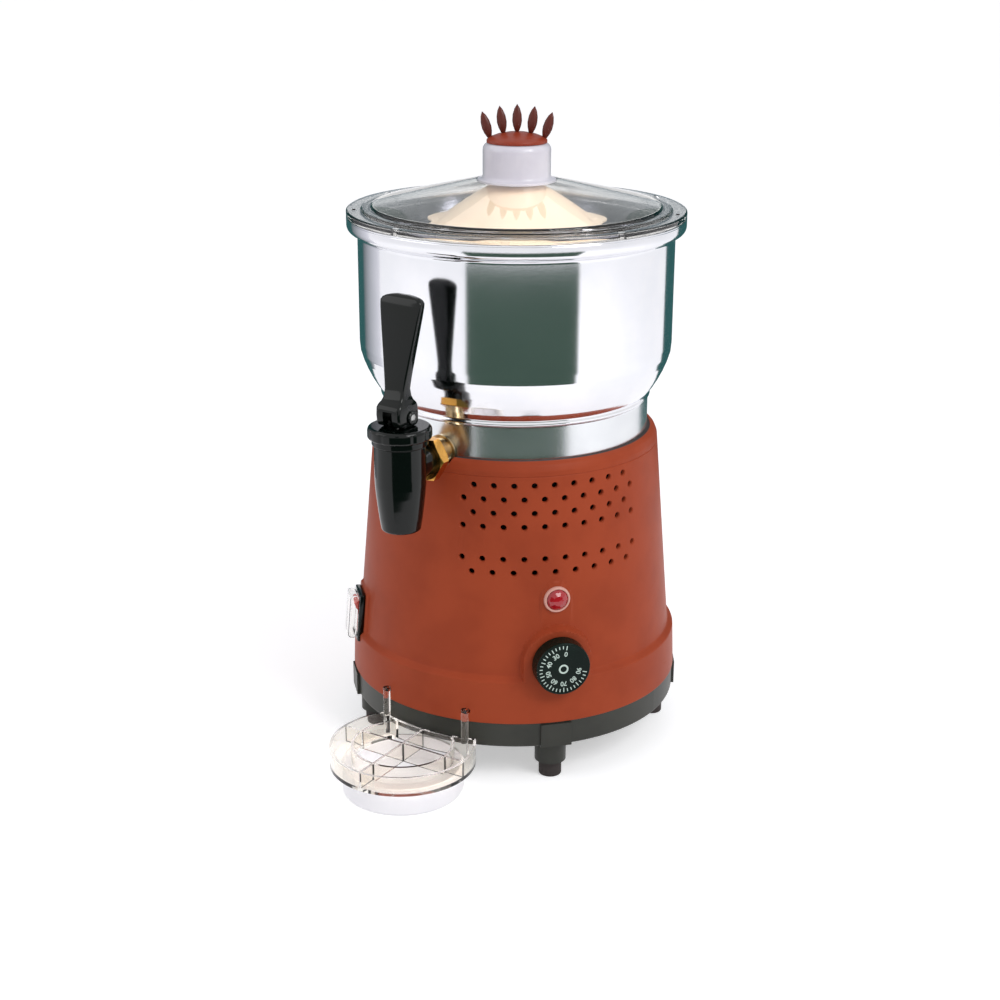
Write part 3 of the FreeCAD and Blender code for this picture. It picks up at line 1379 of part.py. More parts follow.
def lever_front():
    """Front outline of the lever about its pin, as a face in the XZ plane."""
    fork = FORK_WIDTH / 2
    neck = LEVER_NECK_WIDTH / 2
    wide = LEVER_TOP_WIDTH / 2
    low = -PIN_HEIGHT - 20
    crown_x = wide - 0.6 * LEVER_TOP_ROUND
    crown_z = LEVER_HEIGHT - LEVER_CROWN
    side_z = crown_z - 0.7 * LEVER_TOP_ROUND
    bend_x = wide - 0.18 * LEVER_TOP_ROUND
    bend_z = crown_z - 0.26 * LEVER_TOP_ROUND
    return Part.Face(outline_wire([
        (fork, low),
        (fork, FORK_BROW_Z),
        (neck, FORK_BROW_Z + FORK_STEP),
        (neck, LEVER_NECK_Z),
        (wide, side_z),
        ("arc", (bend_x, bend_z), (crown_x, crown_z)),
        ("arc", (0, LEVER_HEIGHT), (-crown_x, crown_z)),
        ("arc", (-bend_x, bend_z), (-wide, side_z)),
        (-neck, LEVER_NECK_Z),
        (-neck, FORK_BROW_Z + FORK_STEP),
        (-fork, FORK_BROW_Z),
        (-fork, low),
    ]))


def tap_lever():
    """Lever from its side and front outlines, forked round the stem's eye."""
    side = lever_side()
    width = LEVER_TOP_WIDTH + 4
    side.translate(vec(-width / 2, 0, 0))
    front = lever_front()
    front.translate(vec(0, -40, 0))
    lever = side.extrude(vec(width, 0, 0)).common(front.extrude(vec(0, 80, 0)))
    cheek = FORK_WIDTH / 2
    boss = cross_rod(PIN_BOSS_R, cheek - 1, cheek + PIN_BOSS_PROUD)
    room = STEM_HEAD_R + FORK_ROOM
    deep = FORK_FRONT + room + 5
    below = 20
    slot = block(FORK_SLOT, deep, room + below, (0, room - deep / 2, (room - below) / 2))
    hole = cross_rod(PIN_R + PIN_FIT, -width, width)
    lever = joined([lever, boss]).cut(slot).cut(hole)
    lever.translate(vec(0, 0, pin_z))
    return placed_on_tap(lever)


def nipple():
    """Threaded pipe through jacket and bowl into the tap's inlet."""
    far = INLET_BOSS_END + NIPPLE_SOCKET
    near = bowl_radius() - BOWL_WALL - NIPPLE_INSIDE
    pipe = radial_rod(NIPPLE_R, far, near, inlet_z)
    return pipe.cut(radial_rod(INLET_BORE_R, far + 1, near - 1, inlet_z))


def hex_nut():
    near = INLET_BOSS_END - NUT_THICKNESS
    nut = radial_hexagon(NUT_FLATS, INLET_BOSS_END, near, inlet_z)
    return nut.cut(radial_rod(NIPPLE_R, INLET_BOSS_END + 1, near - 1, inlet_z))


def inlet_washer():
    """Soft washer between the collar and the nipple's shoulder."""
    far = COLLAR_R + WASHER_THICKNESS
    washer = radial_rod(WASHER_R, far, COLLAR_R, inlet_z)
    return washer.cut(radial_rod(NIPPLE_R, far + 1, COLLAR_R - 1, inlet_z))


def inner_nut():
    """Nut on the nipple inside the bowl, its corners clear of the curved wall."""
    wall = bowl_radius() - BOWL_WALL
    corner = INNER_NUT_FLATS / math.sqrt(3)
    face = math.sqrt(wall * wall - corner * corner) - INNER_NUT_GAP
    nut = radial_hexagon(INNER_NUT_FLATS, face, face - INNER_NUT_THICKNESS, inlet_z)
    return nut.cut(radial_rod(NIPPLE_R, face + 1, face - INNER_NUT_THICKNESS - 1, inlet_z))


# Drip tray
def prong_y():
    """Distance in front of the axis at which the prongs stand, just clear of the base."""
    circle = BASE_R + GRILLE_BASE_GAP + PRONG_R
    return math.sqrt(circle * circle - PRONG_X * PRONG_X)


def tray_region(shrink, z_low, z_high):
    """Round tray, cut back along an arc round the base, moved inwards by shrink."""
    disc = rod(GRILLE_R - shrink, z_low, z_high, 0, -TRAY_REACH)
    return disc.cut(rod(BASE_R + GRILLE_BASE_GAP + shrink, z_low - 1, z_high + 1))


def drip_grille():
    """Clear grille: outer wall, inner ring, cross of ribs, and two prongs that hook into the housing."""
    low = CUP_HEIGHT
    high = low + GRILLE_HEIGHT
    wall = tray_region(0, low, high).cut(tray_region(GRILLE_WALL, low - 1, high + 1))
    region = tray_region(GRILLE_WALL / 2, low, high)
    half = GRILLE_RIB / 2
    ring = tube(GRILLE_INNER_R + half, GRILLE_INNER_R - half, low, high, 0, -TRAY_REACH).common(region)
    floor = tray_region(GRILLE_WALL / 2, low, low + GRILLE_FLOOR)
    floor = floor.cut(rod(GRILLE_INNER_R, low - 1, high, 0, -TRAY_REACH))
    middle = (low + high) / 2
    cross = block(2 * GRILLE_R, GRILLE_RIB, GRILLE_HEIGHT, (0, -TRAY_REACH, middle))
    along = block(GRILLE_RIB, 2 * GRILLE_R, GRILLE_HEIGHT, (0, -TRAY_REACH, middle))
    ribs = cross.fuse(along).common(region)
    y = prong_y()
    prongs = [rod(PRONG_R, low, PRONG_TOP_Z + PRONG_R, x, -y) for x in (-PRONG_X, PRONG_X)]
    wall_y = math.sqrt(SKIRT_TOP_R ** 2 - PRONG_X ** 2)
    pegs = [radial_rod(PEG_R, y, wall_y - PEG_DEPTH, PRONG_TOP_Z, x) for x in (-PRONG_X, PRONG_X)]
    return joined([wall, ring, floor, ribs] + prongs + pegs)


def drip_cup():
    high = CUP_HEIGHT - CUP_TOP_GAP
    cup = rod(CUP_R, 0, high, 0, -TRAY_REACH)
    cup = cup.makeFillet(CUP_EDGE, bottom_edges(cup, 0))
    return cup.cut(rod(CUP_R - CUP_WALL, CUP_FLOOR, high + 1, 0, -TRAY_REACH))


MAKERS = (
    base_tray, rubber_feet, base_screws, housing, collar_gasket,
    chassis_plate, pillars, terminal_block, cable_gland, gland_nut,
    thermostat_body, thermostat_shaft, dial_knob, lamp_bezel, lamp_lens, lamp_body,
    switch_frame, switch_rocker, switch_boot,
    water_jacket, product_bowl, column_tube, heating_element, safety_cutout,
    output_wheel, idler_gear, idler_pin,
    motor_rotor, motor_can, motor_stator, motor_end_plate, motor_screws,
    gearbox_case, gearbox_cover, gearbox_screws, lower_bush, upper_bush, shaft_seal, drive_shaft,
    stirrer_sleeve, stirrer_cone, lid, lid_cap, cap_ornament,
    tap_body, bonnet, bonnet_gasket, valve_stem, plunger_seal, tap_spring, lever_pin, tap_lever,
    nipple, hex_nut, inlet_washer, inner_nut, drip_grille, drip_cup,
)


def main():
    os.makedirs("parts", exist_ok=True)
    for make in MAKERS:
        shape = make()
        name = make.__name__
        assert shape.isValid(), name
        shape.exportStep("parts/" + name + ".step")
        print(name, "solids", len(shape.Solids), "volume", round(shape.Volume))


main()
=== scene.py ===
# %% [markdown]
# # A hot chocolate dispenser
# The machine is already built as a solid model: a round motor base, a steel bowl in a water
# jacket, a clear lid and a lever tap. This notebook gives it its looks. It loads the solids as
# a fixed frame, makes the finishes as node materials, models the pieces that need softer forms
# than a solid model has, and sets up a plain white studio with a camera in front.

# %% The frame
import bpy, bmesh, json, math
from mathutils import Matrix, Vector


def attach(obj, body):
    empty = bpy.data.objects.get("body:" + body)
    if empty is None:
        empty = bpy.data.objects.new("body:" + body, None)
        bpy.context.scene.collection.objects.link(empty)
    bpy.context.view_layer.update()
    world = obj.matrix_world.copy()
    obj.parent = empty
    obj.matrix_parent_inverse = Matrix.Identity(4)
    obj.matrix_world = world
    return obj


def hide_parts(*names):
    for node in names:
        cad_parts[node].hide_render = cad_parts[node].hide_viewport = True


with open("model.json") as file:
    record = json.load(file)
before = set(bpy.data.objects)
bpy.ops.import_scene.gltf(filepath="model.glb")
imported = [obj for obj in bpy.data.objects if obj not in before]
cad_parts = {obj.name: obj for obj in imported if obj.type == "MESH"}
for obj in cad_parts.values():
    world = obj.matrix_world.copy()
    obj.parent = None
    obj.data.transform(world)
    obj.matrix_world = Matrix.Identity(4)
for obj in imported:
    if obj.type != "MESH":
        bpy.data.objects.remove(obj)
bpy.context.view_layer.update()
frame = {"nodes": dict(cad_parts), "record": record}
nodes = frame["nodes"]
slot_of = {part["node"]: part["material_slot"] for part in frame["record"]["subparts"]}

# %% [markdown]
# ## The camera
# The photograph was taken from the right of the tap, a little above the lid, with a long lens.
# Its place was worked out from the machine's own circles, so the numbers are entered directly:
# an azimuth round the machine, a distance, a height, and three small angles of the camera.

# %% The camera's place and aim
AZIMUTH = math.radians(31.5)
DISTANCE, HEIGHT = 1.300, 0.642
PITCH, YAW, ROLL = math.radians(19.33), math.radians(-0.52), math.radians(0.21)
FOCAL_PIXELS, FRAME_PIXELS = 1701, 1000

ahead = Vector((math.sin(YAW) * math.cos(PITCH), math.cos(YAW) * math.cos(PITCH), -math.sin(PITCH)))
right = Vector((math.cos(YAW), -math.sin(YAW), 0))
up = right.cross(ahead)
leaned_right = math.cos(ROLL) * right + math.sin(ROLL) * up
leaned_up = math.cos(ROLL) * up - math.sin(ROLL) * right
round_machine = Matrix.Rotation(AZIMUTH, 3, "Z")
aim = round_machine @ Matrix((leaned_right, leaned_up, -ahead)).transposed()

camera = bpy.data.objects.new("camera", bpy.data.cameras.new("camera"))
bpy.context.scene.collection.objects.link(camera)
camera.data.sensor_width = 36
camera.data.lens = 36 * FOCAL_PIXELS / FRAME_PIXELS
camera.matrix_world = aim.to_4x4()
camera.location = round_machine @ Vector((0, -DISTANCE, HEIGHT))
bpy.context.scene.camera = camera
print("camera at", [round(c, 3) for c in camera.location], "lens", round(camera.data.lens, 1))

# %% [markdown]
# ## A way to write finishes
# A finish is a small network of shader nodes. Two classes keep it readable. `Signal` wraps the
# output of a node, so that masks can be added and multiplied as in ordinary sums. `Finish` holds
# one material and adds every other node through one method.

# %% Signals and finishes
def paint(red, green, blue):
    """A colour as a picture shows it, 0 to 255, turned into the linear values of a shader."""
    def linear(level):
        level /= 255
        return level / 12.92 if level <= 0.04045 else ((level + 0.055) / 1.055) ** 2.4
    return linear(red), linear(green), linear(blue), 1.0


class Signal:
    """The output of a node, with the usual signs of arithmetic."""

    def __init__(self, finish, socket):
        self.finish, self.socket = finish, socket

    def maths(self, operation, first, second=0.0):
        return self.finish.add("ShaderNodeMath", {"operation": operation}, {0: first, 1: second})

    def __add__(self, other):
        return self.maths("ADD", self, other)

    def __mul__(self, other):
        return self.maths("MULTIPLY", self, other)

    __radd__, __rmul__ = __add__, __mul__

    def above(self, edge, soft):
        """0 below the edge and 1 above it, with a soft step between."""
        settings = {"interpolation_type": "SMOOTHSTEP"}
        ends = {0: self, 1: edge - soft, 2: edge + soft}
        return self.finish.add("ShaderNodeMapRange", settings, ends)


class Finish:
    """One material: a main shader, and the nodes that feed it."""

    def __init__(self, name, colour, **sockets):
        self.material = bpy.data.materials.new(name)
        self.material.use_nodes = True
        self.tree = self.material.node_tree
        self.shader = self.tree.nodes["Principled BSDF"]
        self.set("Base Color", colour)
        for socket, value in sockets.items():
            self.set(socket.replace("_", " "), value)

    def set(self, socket, value):
        self.plug(self.shader.inputs[socket], value)

    def plug(self, socket, value):
        if isinstance(value, Signal):
            self.tree.links.new(value.socket, socket)
        else:
            socket.default_value = value

    def add(self, kind, settings=None, inputs=None, output=0):
        """Adds a node: its settings first, then the values or signals of its sockets."""
        node = self.tree.nodes.new(kind)
        for key, value in (settings or {}).items():
            if key == "stops":
                self.set_stops(node.color_ramp, value)
            else:
                setattr(node, key, value)
        for socket, value in (inputs or {}).items():
            self.plug(node.inputs[socket], value)
        return Signal(self, node.outputs[output])

    def set_stops(self, ramp, stops):
        while len(ramp.elements) < len(stops):
            ramp.elements.new(0.5)
        for element, (place, colour) in zip(ramp.elements, stops):
            element.position, element.color = place, colour

    def place(self, stretch):
        """Object coordinates in millimetres, stretched."""
        here = self.add("ShaderNodeTexCoord", output="Object")
        size = tuple(1000 * s for s in stretch)
        return self.add("ShaderNodeMapping", None, {"Vector": here, "Scale": size})

    def grain(self, size, detail=3.0, roughness=0.5, stretch=(1, 1, 1)):
        """Noise whose spots are about size millimetres wide."""
        inputs = {"Vector": self.place(stretch), "Scale": 1 / size}
        inputs.update({"Detail": detail, "Roughness": roughness})
        return self.add("ShaderNodeTexNoise", {"noise_dimensions": "3D"}, inputs)

    def mix(self, mask, first, second):
        """A colour between two others."""
        return self.add("ShaderNodeMix", {"data_type": "RGBA"}, {0: mask, 6: first, 7: second}, output=2)

    def bump(self, height, depth):
        """Relief of the given depth in millimetres."""
        inputs = {"Height": height, "Distance": depth * 0.001, "Strength": 1.0}
        self.set("Normal", self.add("ShaderNodeBump", None, inputs))


# %% [markdown]
# ## The finishes
# Each finish has the small unevenness of the real surface, at its real size: the fine
# orange-peel of a moulded shell, the drawn lines of polished steel, the haze of a worn lid.

# %% Moulded plastics
def moulded(name, colour, second, roughness, peel=0.6, depth=0.02, shine=0.35):
    """Opaque moulding: clouds of a second colour, an orange-peel surface and a few fine scuffs."""
    colour, second = paint(*colour), paint(*second)
    finish = Finish(name, colour)
    clouds = finish.grain(38.0).above(0.52, 0.16)
    finish.set("Base Color", finish.mix(clouds, colour, second))
    scuffs = finish.grain(9.0, 5.0, 0.7, (1, 1, 3)).above(0.66, 0.08)
    finish.set("Roughness", roughness + scuffs * 0.08)
    finish.bump(finish.grain(peel, 2.0), depth)
    finish.set("Specular IOR Level", shine)
    return finish.material


MOULDINGS = {
    "terracotta_shell": ((162, 70, 42), (153, 65, 39), 0.42, 0.6, 0.02, 0.09),
    "charcoal_plastic": ((52, 53, 47), (45, 46, 41), 0.40, 0.6, 0.02, 0.30),
    "black_rubber": ((60, 53, 52), (52, 46, 45), 0.75),
    "acetal": ((226, 224, 214), (218, 215, 204), 0.35),
    "white_plastic": ((252, 251, 254), (248, 247, 251), 0.30),
    "black_gloss": ((4, 9, 7), (2, 6, 4), 0.11, 0.4, 0.003, 0.30),
    "cream_plastic": ((254, 232, 204), (251, 226, 196), 0.42),
    "cap_brown": ((152, 58, 33), (141, 51, 29), 0.38),
    "ornament_brown": ((92, 32, 20), (78, 26, 16), 0.34),
    "dial_green": ((5, 25, 19), (4, 20, 15), 0.26, 0.6, 0.02, 0.14),
    "lamp_rim": ((220, 168, 154), (208, 154, 140), 0.25),
    "lamp_case": ((60, 58, 56), (50, 48, 47), 0.45),
    "rocker_red": ((205, 66, 50), (196, 58, 44), 0.28),
    "winding": ((150, 84, 44), (132, 70, 36), 0.38),
    "frosted_plastic": ((224, 221, 229), (215, 211, 221), 0.16, 0.6, 0.02, 0.5),
    "white_print": ((206, 224, 214), (194, 212, 202), 0.5),
    "lamp_red": ((172, 20, 32), (146, 12, 24), 0.06, 0.6, 0.02, 0.7),
}
finishes = {name: moulded(name, *values) for name, values in MOULDINGS.items()}
print(len(finishes), "moulded finishes")

# %% Metals
def metal(name, colour, second, roughness, line=0.5, stretch=(1, 1, 1), depth=0.004):
    """Metal with fine drawn lines; stretch makes them run one way."""
    colour, second = paint(*colour), paint(*second)
    finish = Finish(name, colour, Metallic=1.0)
    lines = finish.grain(line, 3.0, 0.6, stretch)
    clouds = finish.grain(30.0).above(0.5, 0.2)
    finish.set("Base Color", finish.mix(clouds, colour, second))
    finish.set("Roughness", roughness + lines * 0.06)
    finish.bump(lines, depth)
    return finish.material


DRAWN_ROUND = (1, 1, 12)
METALS = {
    "polished_steel": ((232, 232, 236), (226, 227, 231), 0.07, 1.2, DRAWN_ROUND),
    "satin_steel": ((222, 224, 226), (214, 216, 219), 0.21, 1.2, DRAWN_ROUND),
    # On the jacket's bath this dark grey is painted shade: it stands in for the shade inside the housing.
    "dull_steel": ((70, 70, 72), (60, 60, 62), 0.60),
    "plain_steel": ((190, 190, 190), (178, 178, 178), 0.32),
    "gearbox_alloy": ((168, 170, 172), (156, 158, 160), 0.45, 1.5, (1, 1, 1), 0.03),
    "bronze": ((176, 128, 78), (164, 116, 70), 0.35),
    "brass": ((226, 168, 84), (216, 154, 72), 0.20),
    "plated_brass": ((212, 196, 168), (200, 178, 140), 0.18),
}
finishes.update({name: metal(name, *values) for name, values in METALS.items()})
print(len(METALS), "metals")

# %% Clear plastics
def clear(name, colour, roughness, haze=0.03):
    """Clear moulding: it bends light a little and has a faint uneven haze."""
    finish = Finish(name, paint(*colour))
    finish.set("Transmission Weight", 1.0)
    finish.set("IOR", 1.46)
    finish.set("Roughness", roughness + finish.grain(24.0).above(0.55, 0.2) * haze)
    return finish.material


finishes["clear_plastic"] = clear("clear_plastic", (251, 250, 249), 0.015)
finishes["warm_plastic"] = clear("warm_plastic", (253, 249, 243), 0.02)

for name, node in nodes.items():
    node.data.materials.clear()
    node.data.materials.append(finishes["warm_plastic" if name == "drip_grille" else slot_of[name]])
print(len(finishes), "finishes")

# %% [markdown]
# ## Ways to make a piece
# Almost every visible piece of this machine was turned, moulded or pressed round an axis, so most
# pieces start as a thin outline that is spun. The outline's corners are rounded first with a
# bevel of its vertices, because on a real moulding no corner is sharp. Lengths are in millimetres
# while a piece is made, and become metres when it is handed to the frame.

# %% From outline to piece
def link(obj):
    bpy.context.scene.collection.objects.link(obj)
    return obj


HOLD = 0.8


def bevelled(mesh, corners, offset, segments, affect="VERTICES", clamp=False):
    """Rounds corners or edges, starting so far from them."""
    bmesh.ops.bevel(mesh, geom=corners, offset=offset, offset_type="OFFSET", segments=segments,
                    profile=0.5, affect=affect, clamp_overlap=clamp, material=-1)


def outline(mesh, points, closed=False, segments=5):
    """A wire of (radius, height) points; a third number rounds that corner, starting so far from it.

    Long straight runs get a point HOLD from each end, which keeps a corner's shading at the corner."""
    verts = [mesh.verts.new((point[0], 0, point[1])) for point in points]
    pairs = list(zip(verts, verts[1:] + verts[:1]))
    for pair in pairs if closed else pairs[:-1]:
        mesh.edges.new(pair)
    for vert, point in zip(verts, points):
        if len(point) > 2:
            bevelled(mesh, [vert], point[2], segments)
    for edge in [edge for edge in mesh.edges if edge.calc_length() > 6 * HOLD]:
        first, last = edge.verts
        bmesh.utils.edge_split(edge, first, HOLD / edge.calc_length())
        bmesh.utils.edge_split(edge, last, HOLD / edge.calc_length())


def spin(mesh, steps=128, degrees=360, geom=None):
    """Turns what is given, or everything, round the upright axis; returns a part turn's far edge."""
    ends = bmesh.ops.spin(mesh, geom=geom or mesh.verts[:] + mesh.edges[:], cent=(0, 0, 0),
                          axis=(0, 0, 1), dvec=(0, 0, 0), angle=math.radians(degrees), steps=steps,
                          use_merge=degrees == 360, use_duplicate=False)
    return ends["geom_last"]


def close_up(mesh):
    bmesh.ops.remove_doubles(mesh, verts=mesh.verts, dist=0.001)
    bmesh.ops.recalc_face_normals(mesh, faces=mesh.faces)
    return mesh


def lathe(points, steps=128, closed=False, segments=5):
    mesh = bmesh.new()
    outline(mesh, points, closed, segments)
    spin(mesh, steps)
    return close_up(mesh)


def turned(degrees, axis="Z"):
    return Matrix.Rotation(math.radians(degrees), 4, axis)


def shift(x, y, z):
    return Matrix.Translation((x, y, z))


def facing(azimuth, distance, height, lean=0.0):
    """The place of a piece turned round +Z, so that its axis points outwards at that azimuth."""
    tip = Matrix.Rotation(math.radians(90 - lean), 4, "X")
    return turned(azimuth) @ shift(0, -distance, height) @ tip


def moved(mesh, place):
    bmesh.ops.transform(mesh, matrix=place, verts=mesh.verts)
    return mesh


def cube(place, x_size, y_size, z_size):
    """A block of three sizes, its centre at that place."""
    mesh = bmesh.new()
    bmesh.ops.create_cube(mesh, size=1.0)
    return moved(mesh, place @ Matrix.Diagonal((x_size, y_size, z_size, 1)))


def joined(meshes):
    """Several meshes as one."""
    whole = bmesh.new()
    for mesh in meshes:
        data = bpy.data.meshes.new("joined")
        mesh.to_mesh(data)
        mesh.free()
        whole.from_mesh(data)
        bpy.data.meshes.remove(data)
    return whole


def carved(mesh, tool, operation="DIFFERENCE"):
    """The first mesh with the second one cut out of it, or kept only inside it."""
    objects = []
    for source in (mesh, tool):
        data = bpy.data.meshes.new("carving")
        source.to_mesh(data)
        source.free()
        objects.append(link(bpy.data.objects.new("carving", data)))
    boolean = objects[0].modifiers.new("cut", "BOOLEAN")
    boolean.operation, boolean.solver, boolean.object = operation, "EXACT", objects[1]
    graph = bpy.context.evaluated_depsgraph_get()
    result = bpy.data.meshes.new_from_object(objects[0].evaluated_get(graph))
    for obj in objects:
        bpy.data.objects.remove(obj)
    cut = bmesh.new()
    cut.from_mesh(result)
    return cut


def piece(name, mesh, finish, body="machine", stands_for=(), crease=32):
    """Hands a finished mesh to the frame: in metres, smooth, with its finish, on its body."""
    bmesh.ops.scale(mesh, vec=(0.001, 0.001, 0.001), verts=mesh.verts)
    data = bpy.data.meshes.new(name)
    mesh.to_mesh(data)
    mesh.free()
    data.shade_smooth()
    data.set_sharp_from_angle(angle=math.radians(crease))
    data.materials.append(finishes[finish])
    obj = link(bpy.data.objects.new(name, data))
    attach(obj, body)
    if stands_for:
        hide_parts(*stands_for)
    print(name, len(data.polygons), "faces")
    return obj


# %% [markdown]
# ## The housing
# The terracotta shell is one moulding: a tapered wall over a wider skirt, with raised pads for the
# dial, the lamp and the switch that flow softly out of it. Its outline is spun in five sectors,
# finely where the pads are and coarsely elsewhere, the pads are pushed out of the fine grid, and
# the vents are cut last, each with a small countersink as the real mould has.

# %% Turning the shell
WAIST_FOOT, WAIST_LOSS, WAIST_TALL = (126.4, 88.2), 13.6, 158.8
CONTROLS_TOP, GROOVE_Z, GROOVE_HALF = 168.0, 243.0, 0.5


def waist_radius(z):
    return WAIST_FOOT[0] - WAIST_LOSS * (z - WAIST_FOOT[1]) / WAIST_TALL


shell = bmesh.new()
above, below = GROOVE_Z + GROOVE_HALF, GROOVE_Z - GROOVE_HALF
wall = [(132.4, 51.0, 0.6), (131.0, 85.0, 0.9), (*WAIST_FOOT, 1.0),
        (waist_radius(CONTROLS_TOP), CONTROLS_TOP),
        (waist_radius(below), below, 0.2), (waist_radius(GROOVE_Z) - GROOVE_HALF, GROOVE_Z, 0.2),
        (waist_radius(above), above, 0.2), (112.8, 247.0, 0.4), (110.8, 252.0, 1.6),
        (107.0, 253.9, 0.5), (107.0, 250.6), (109.8, 245.0), (123.4, 88.0), (128.0, 84.0), (129.4, 51.0)]
outline(shell, wall, closed=True, segments=4)


def rows(mesh, low, high, cuts):
    """More rows on the outer wall between two heights."""
    tall = []
    for edge in mesh.edges:
        radii, heights = [v.co.x for v in edge.verts], sorted(v.co.z for v in edge.verts)
        outside = min(radii) > 119 and min(v.co.x - waist_radius(v.co.z) for v in edge.verts) > -2
        if outside and heights[1] - heights[0] > 20 and low - 2 < heights[0] and heights[1] < high + 2:
            tall.append(edge)
    bmesh.ops.subdivide_edges(mesh, edges=tall, cuts=cuts)
    return len(tall)


print("rows added on", rows(shell, 51, 85, 26), "and", rows(shell, 88, CONTROLS_TOP, 66), "edges")
FIRST_AZIMUTH, FIRST_SECTOR = -58, (2.0, 6)
SECTORS = ((24, 44), (62, 26), (34, 62), (238, 100))
ends = spin(shell, FIRST_SECTOR[1], FIRST_SECTOR[0])
moved(shell, turned(FIRST_AZIMUTH - 90))
for degrees, steps in SECTORS:
    ends = spin(shell, steps, degrees, ends)
close_up(shell)
print("shell", len(shell.faces), "faces")

# %% Pushing out the pads
DIAL_AZIMUTH, DIAL_Z, DIAL_PAD_FACE = 46.7, 100.5, 131.0
LAMP_Z, LAMP_PAD_FACE = 149.0, 122.8
SWITCH_AZIMUTH, SWITCH_FACE, SWITCH_Z, SWITCH_LEAN = -45.0, 126.6, 98.7, 4.9
PAD_SECTOR, DIAL_BEND, LAMP_BEND = 0.4, 1.8, 1.6


def arch_depth(x, z, half, low, arch):
    """How far a point lies inside an upright pad with a round top."""
    if z > arch:
        return half - math.hypot(x, z - arch)
    return min(half - abs(x), z - low)


def box_depth(x, z, half, low, high, corner=4.0):
    """How far a point lies inside a rectangle with round corners."""
    across, along = abs(x) - half + corner, abs(z - (low + high) / 2) - (high - low) / 2 + corner
    outside = math.hypot(max(across, 0), max(along, 0))
    return corner - outside - min(max(across, along), 0)


def eased(depth, soft):
    share = min(1, max(0, depth / soft))
    return share * share * (3 - 2 * share)


def pushed(vert):
    """The outer wall's radius after the pads are added."""
    radius, turn, z = math.hypot(vert.x, vert.y), math.degrees(math.atan2(vert.x, -vert.y)), vert.z
    aside = math.radians(turn - DIAL_AZIMUTH)
    if abs(aside) < PAD_SECTOR:
        x = radius * math.sin(aside)
        dial = eased(arch_depth(x, z, 27.4, 40, DIAL_Z), DIAL_BEND) * max(0, DIAL_PAD_FACE - radius)
        flat = max(0, LAMP_PAD_FACE / math.cos(aside) - radius)
        return radius + max(dial, eased(arch_depth(x, z, 13.0, 60, LAMP_Z), LAMP_BEND) * flat)
    aside = math.radians(turn - SWITCH_AZIMUTH)
    if abs(aside) < PAD_SECTOR:
        x = radius * math.sin(aside)
        plane = SWITCH_FACE - math.tan(math.radians(SWITCH_LEAN)) * (z - SWITCH_Z)
        flat = max(0, plane / math.cos(aside) - radius)
        return radius + eased(box_depth(x, z, 17.4, 74.3, 123.1), DIAL_BEND) * flat
    return radius


for vert in shell.verts:
    radius = math.hypot(vert.co.x, vert.co.y)
    if vert.co.z < CONTROLS_TOP + 2 and radius > max(waist_radius(vert.co.z) - 0.6, 118):
        factor = pushed(vert.co) / radius
        vert.co.x, vert.co.y = vert.co.x * factor, vert.co.y * factor
print("pads pushed out for dial, lamp and switch")

# %% Vents and holes
VENT_ROWS = ((236.2, 9), (225.7, 10), (215.2, 9), (204.7, 10), (180.0, 10), (169.5, 9))
VENT_PITCH = 7.7
INLET_Z, PEG_Z, PEG_X = 256, 59.5, 36.5
drill = [(0, -8), (2.2, -8), (2.2, -0.8), (2.8, 0.0), (3.6, 1.2), (3.6, 4), (0, 4)]
cutters = []
for height, count in VENT_ROWS:
    surface = waist_radius(height)
    for i in range(count):
        azimuth = DIAL_AZIMUTH + VENT_PITCH * (i - (count - 1) / 2)
        cutters.append(moved(lathe(drill, 20), facing(azimuth, surface, height)))
cutters.append(moved(lathe([(0, -12), (12.6, -12), (12.6, 20), (0, 20)], 48), facing(0, 112, INLET_Z)))
for x in (-PEG_X, PEG_X):
    peg = moved(lathe([(0, -12), (2.35, -12), (2.35, 8), (0, 8)], 20), facing(0, 127, PEG_Z))
    cutters.append(moved(peg, shift(x, 0, 0)))
at_switch = facing(SWITCH_AZIMUTH, SWITCH_FACE, SWITCH_Z, SWITCH_LEAN)
cutters.append(moved(cube(shift(0, 0, 6), 26.6, 40.6, 12), at_switch))
print(len(cutters), "cutters")
piece("housing_shell", carved(shell, joined(cutters)), "terracotta_shell", stands_for=["housing"])

# %% [markdown]
# ## Bowl and water jacket
# The drum is a deep-drawn steel vessel with a rounded shoulder over a narrow collar. Its mirror
# surface shows every flat spot, so it is spun in 256 steps. The bowl for the drink hangs inside
# it by a thin flange; its inside shows through the lid.

# %% The jacket's outside and the bowl's inside
bath_outline = [(0, 207), (103.3, 207), (103.3, 195), (104.5, 195, 0.3), (104.5, 249.0)]
# The bath below the collar is the jacket's own steel; its dark dull grey is painted shade, standing in for
# the shade inside the housing behind the vents.
piece("jacket_bath_in_painted_shade", lathe(bath_outline, 128), "dull_steel")
piece("jacket_collar", lathe([(104.5, 249.0), (104.5, 278.0)], 256), "satin_steel")
jacket_outline = [
    (104.5, 278.0), (104.5, 278.4), (105.3, 279.6), (106.4, 280.6, 1.1),
    (105.4, 283.4, 0.8), (109.6, 289.2), (113.2, 295.2), (116.6, 302.0), (119.2, 308.4),
    (121.2, 315.0), (121.8, 322.0), (121.8, 404.6, 1.2), (129.0, 408.2, 1.6), (130.0, 411.0, 1.2),
    (130.0, 417.0, 0.8), (128.8, 417.0), (128.8, 409.6), (120.6, 406.4), (120.6, 320), (107, 289),
    (103.3, 280), (103.3, 249.2)]
piece("steel_jacket", lathe(jacket_outline, 256), "polished_steel", stands_for=["water_jacket"])
bowl_outline = [
    (11, 232), (100.7, 232, 9.0), (100.7, 281, 1.0), (106.0, 289.6), (111.5, 299.4), (115.4, 308.4),
    (117.4, 316), (118.0, 324), (118.0, 417.0), (130.0, 417.0), (130.0, 418.0, 0.4),
    (117.0, 418.0, 0.8), (117.0, 324), (116.4, 316), (114.4, 308.8), (110.6, 300.0), (105.0, 290.2),
    (99.7, 281.6, 1.0), (99.7, 233, 8.0), (11, 233)]
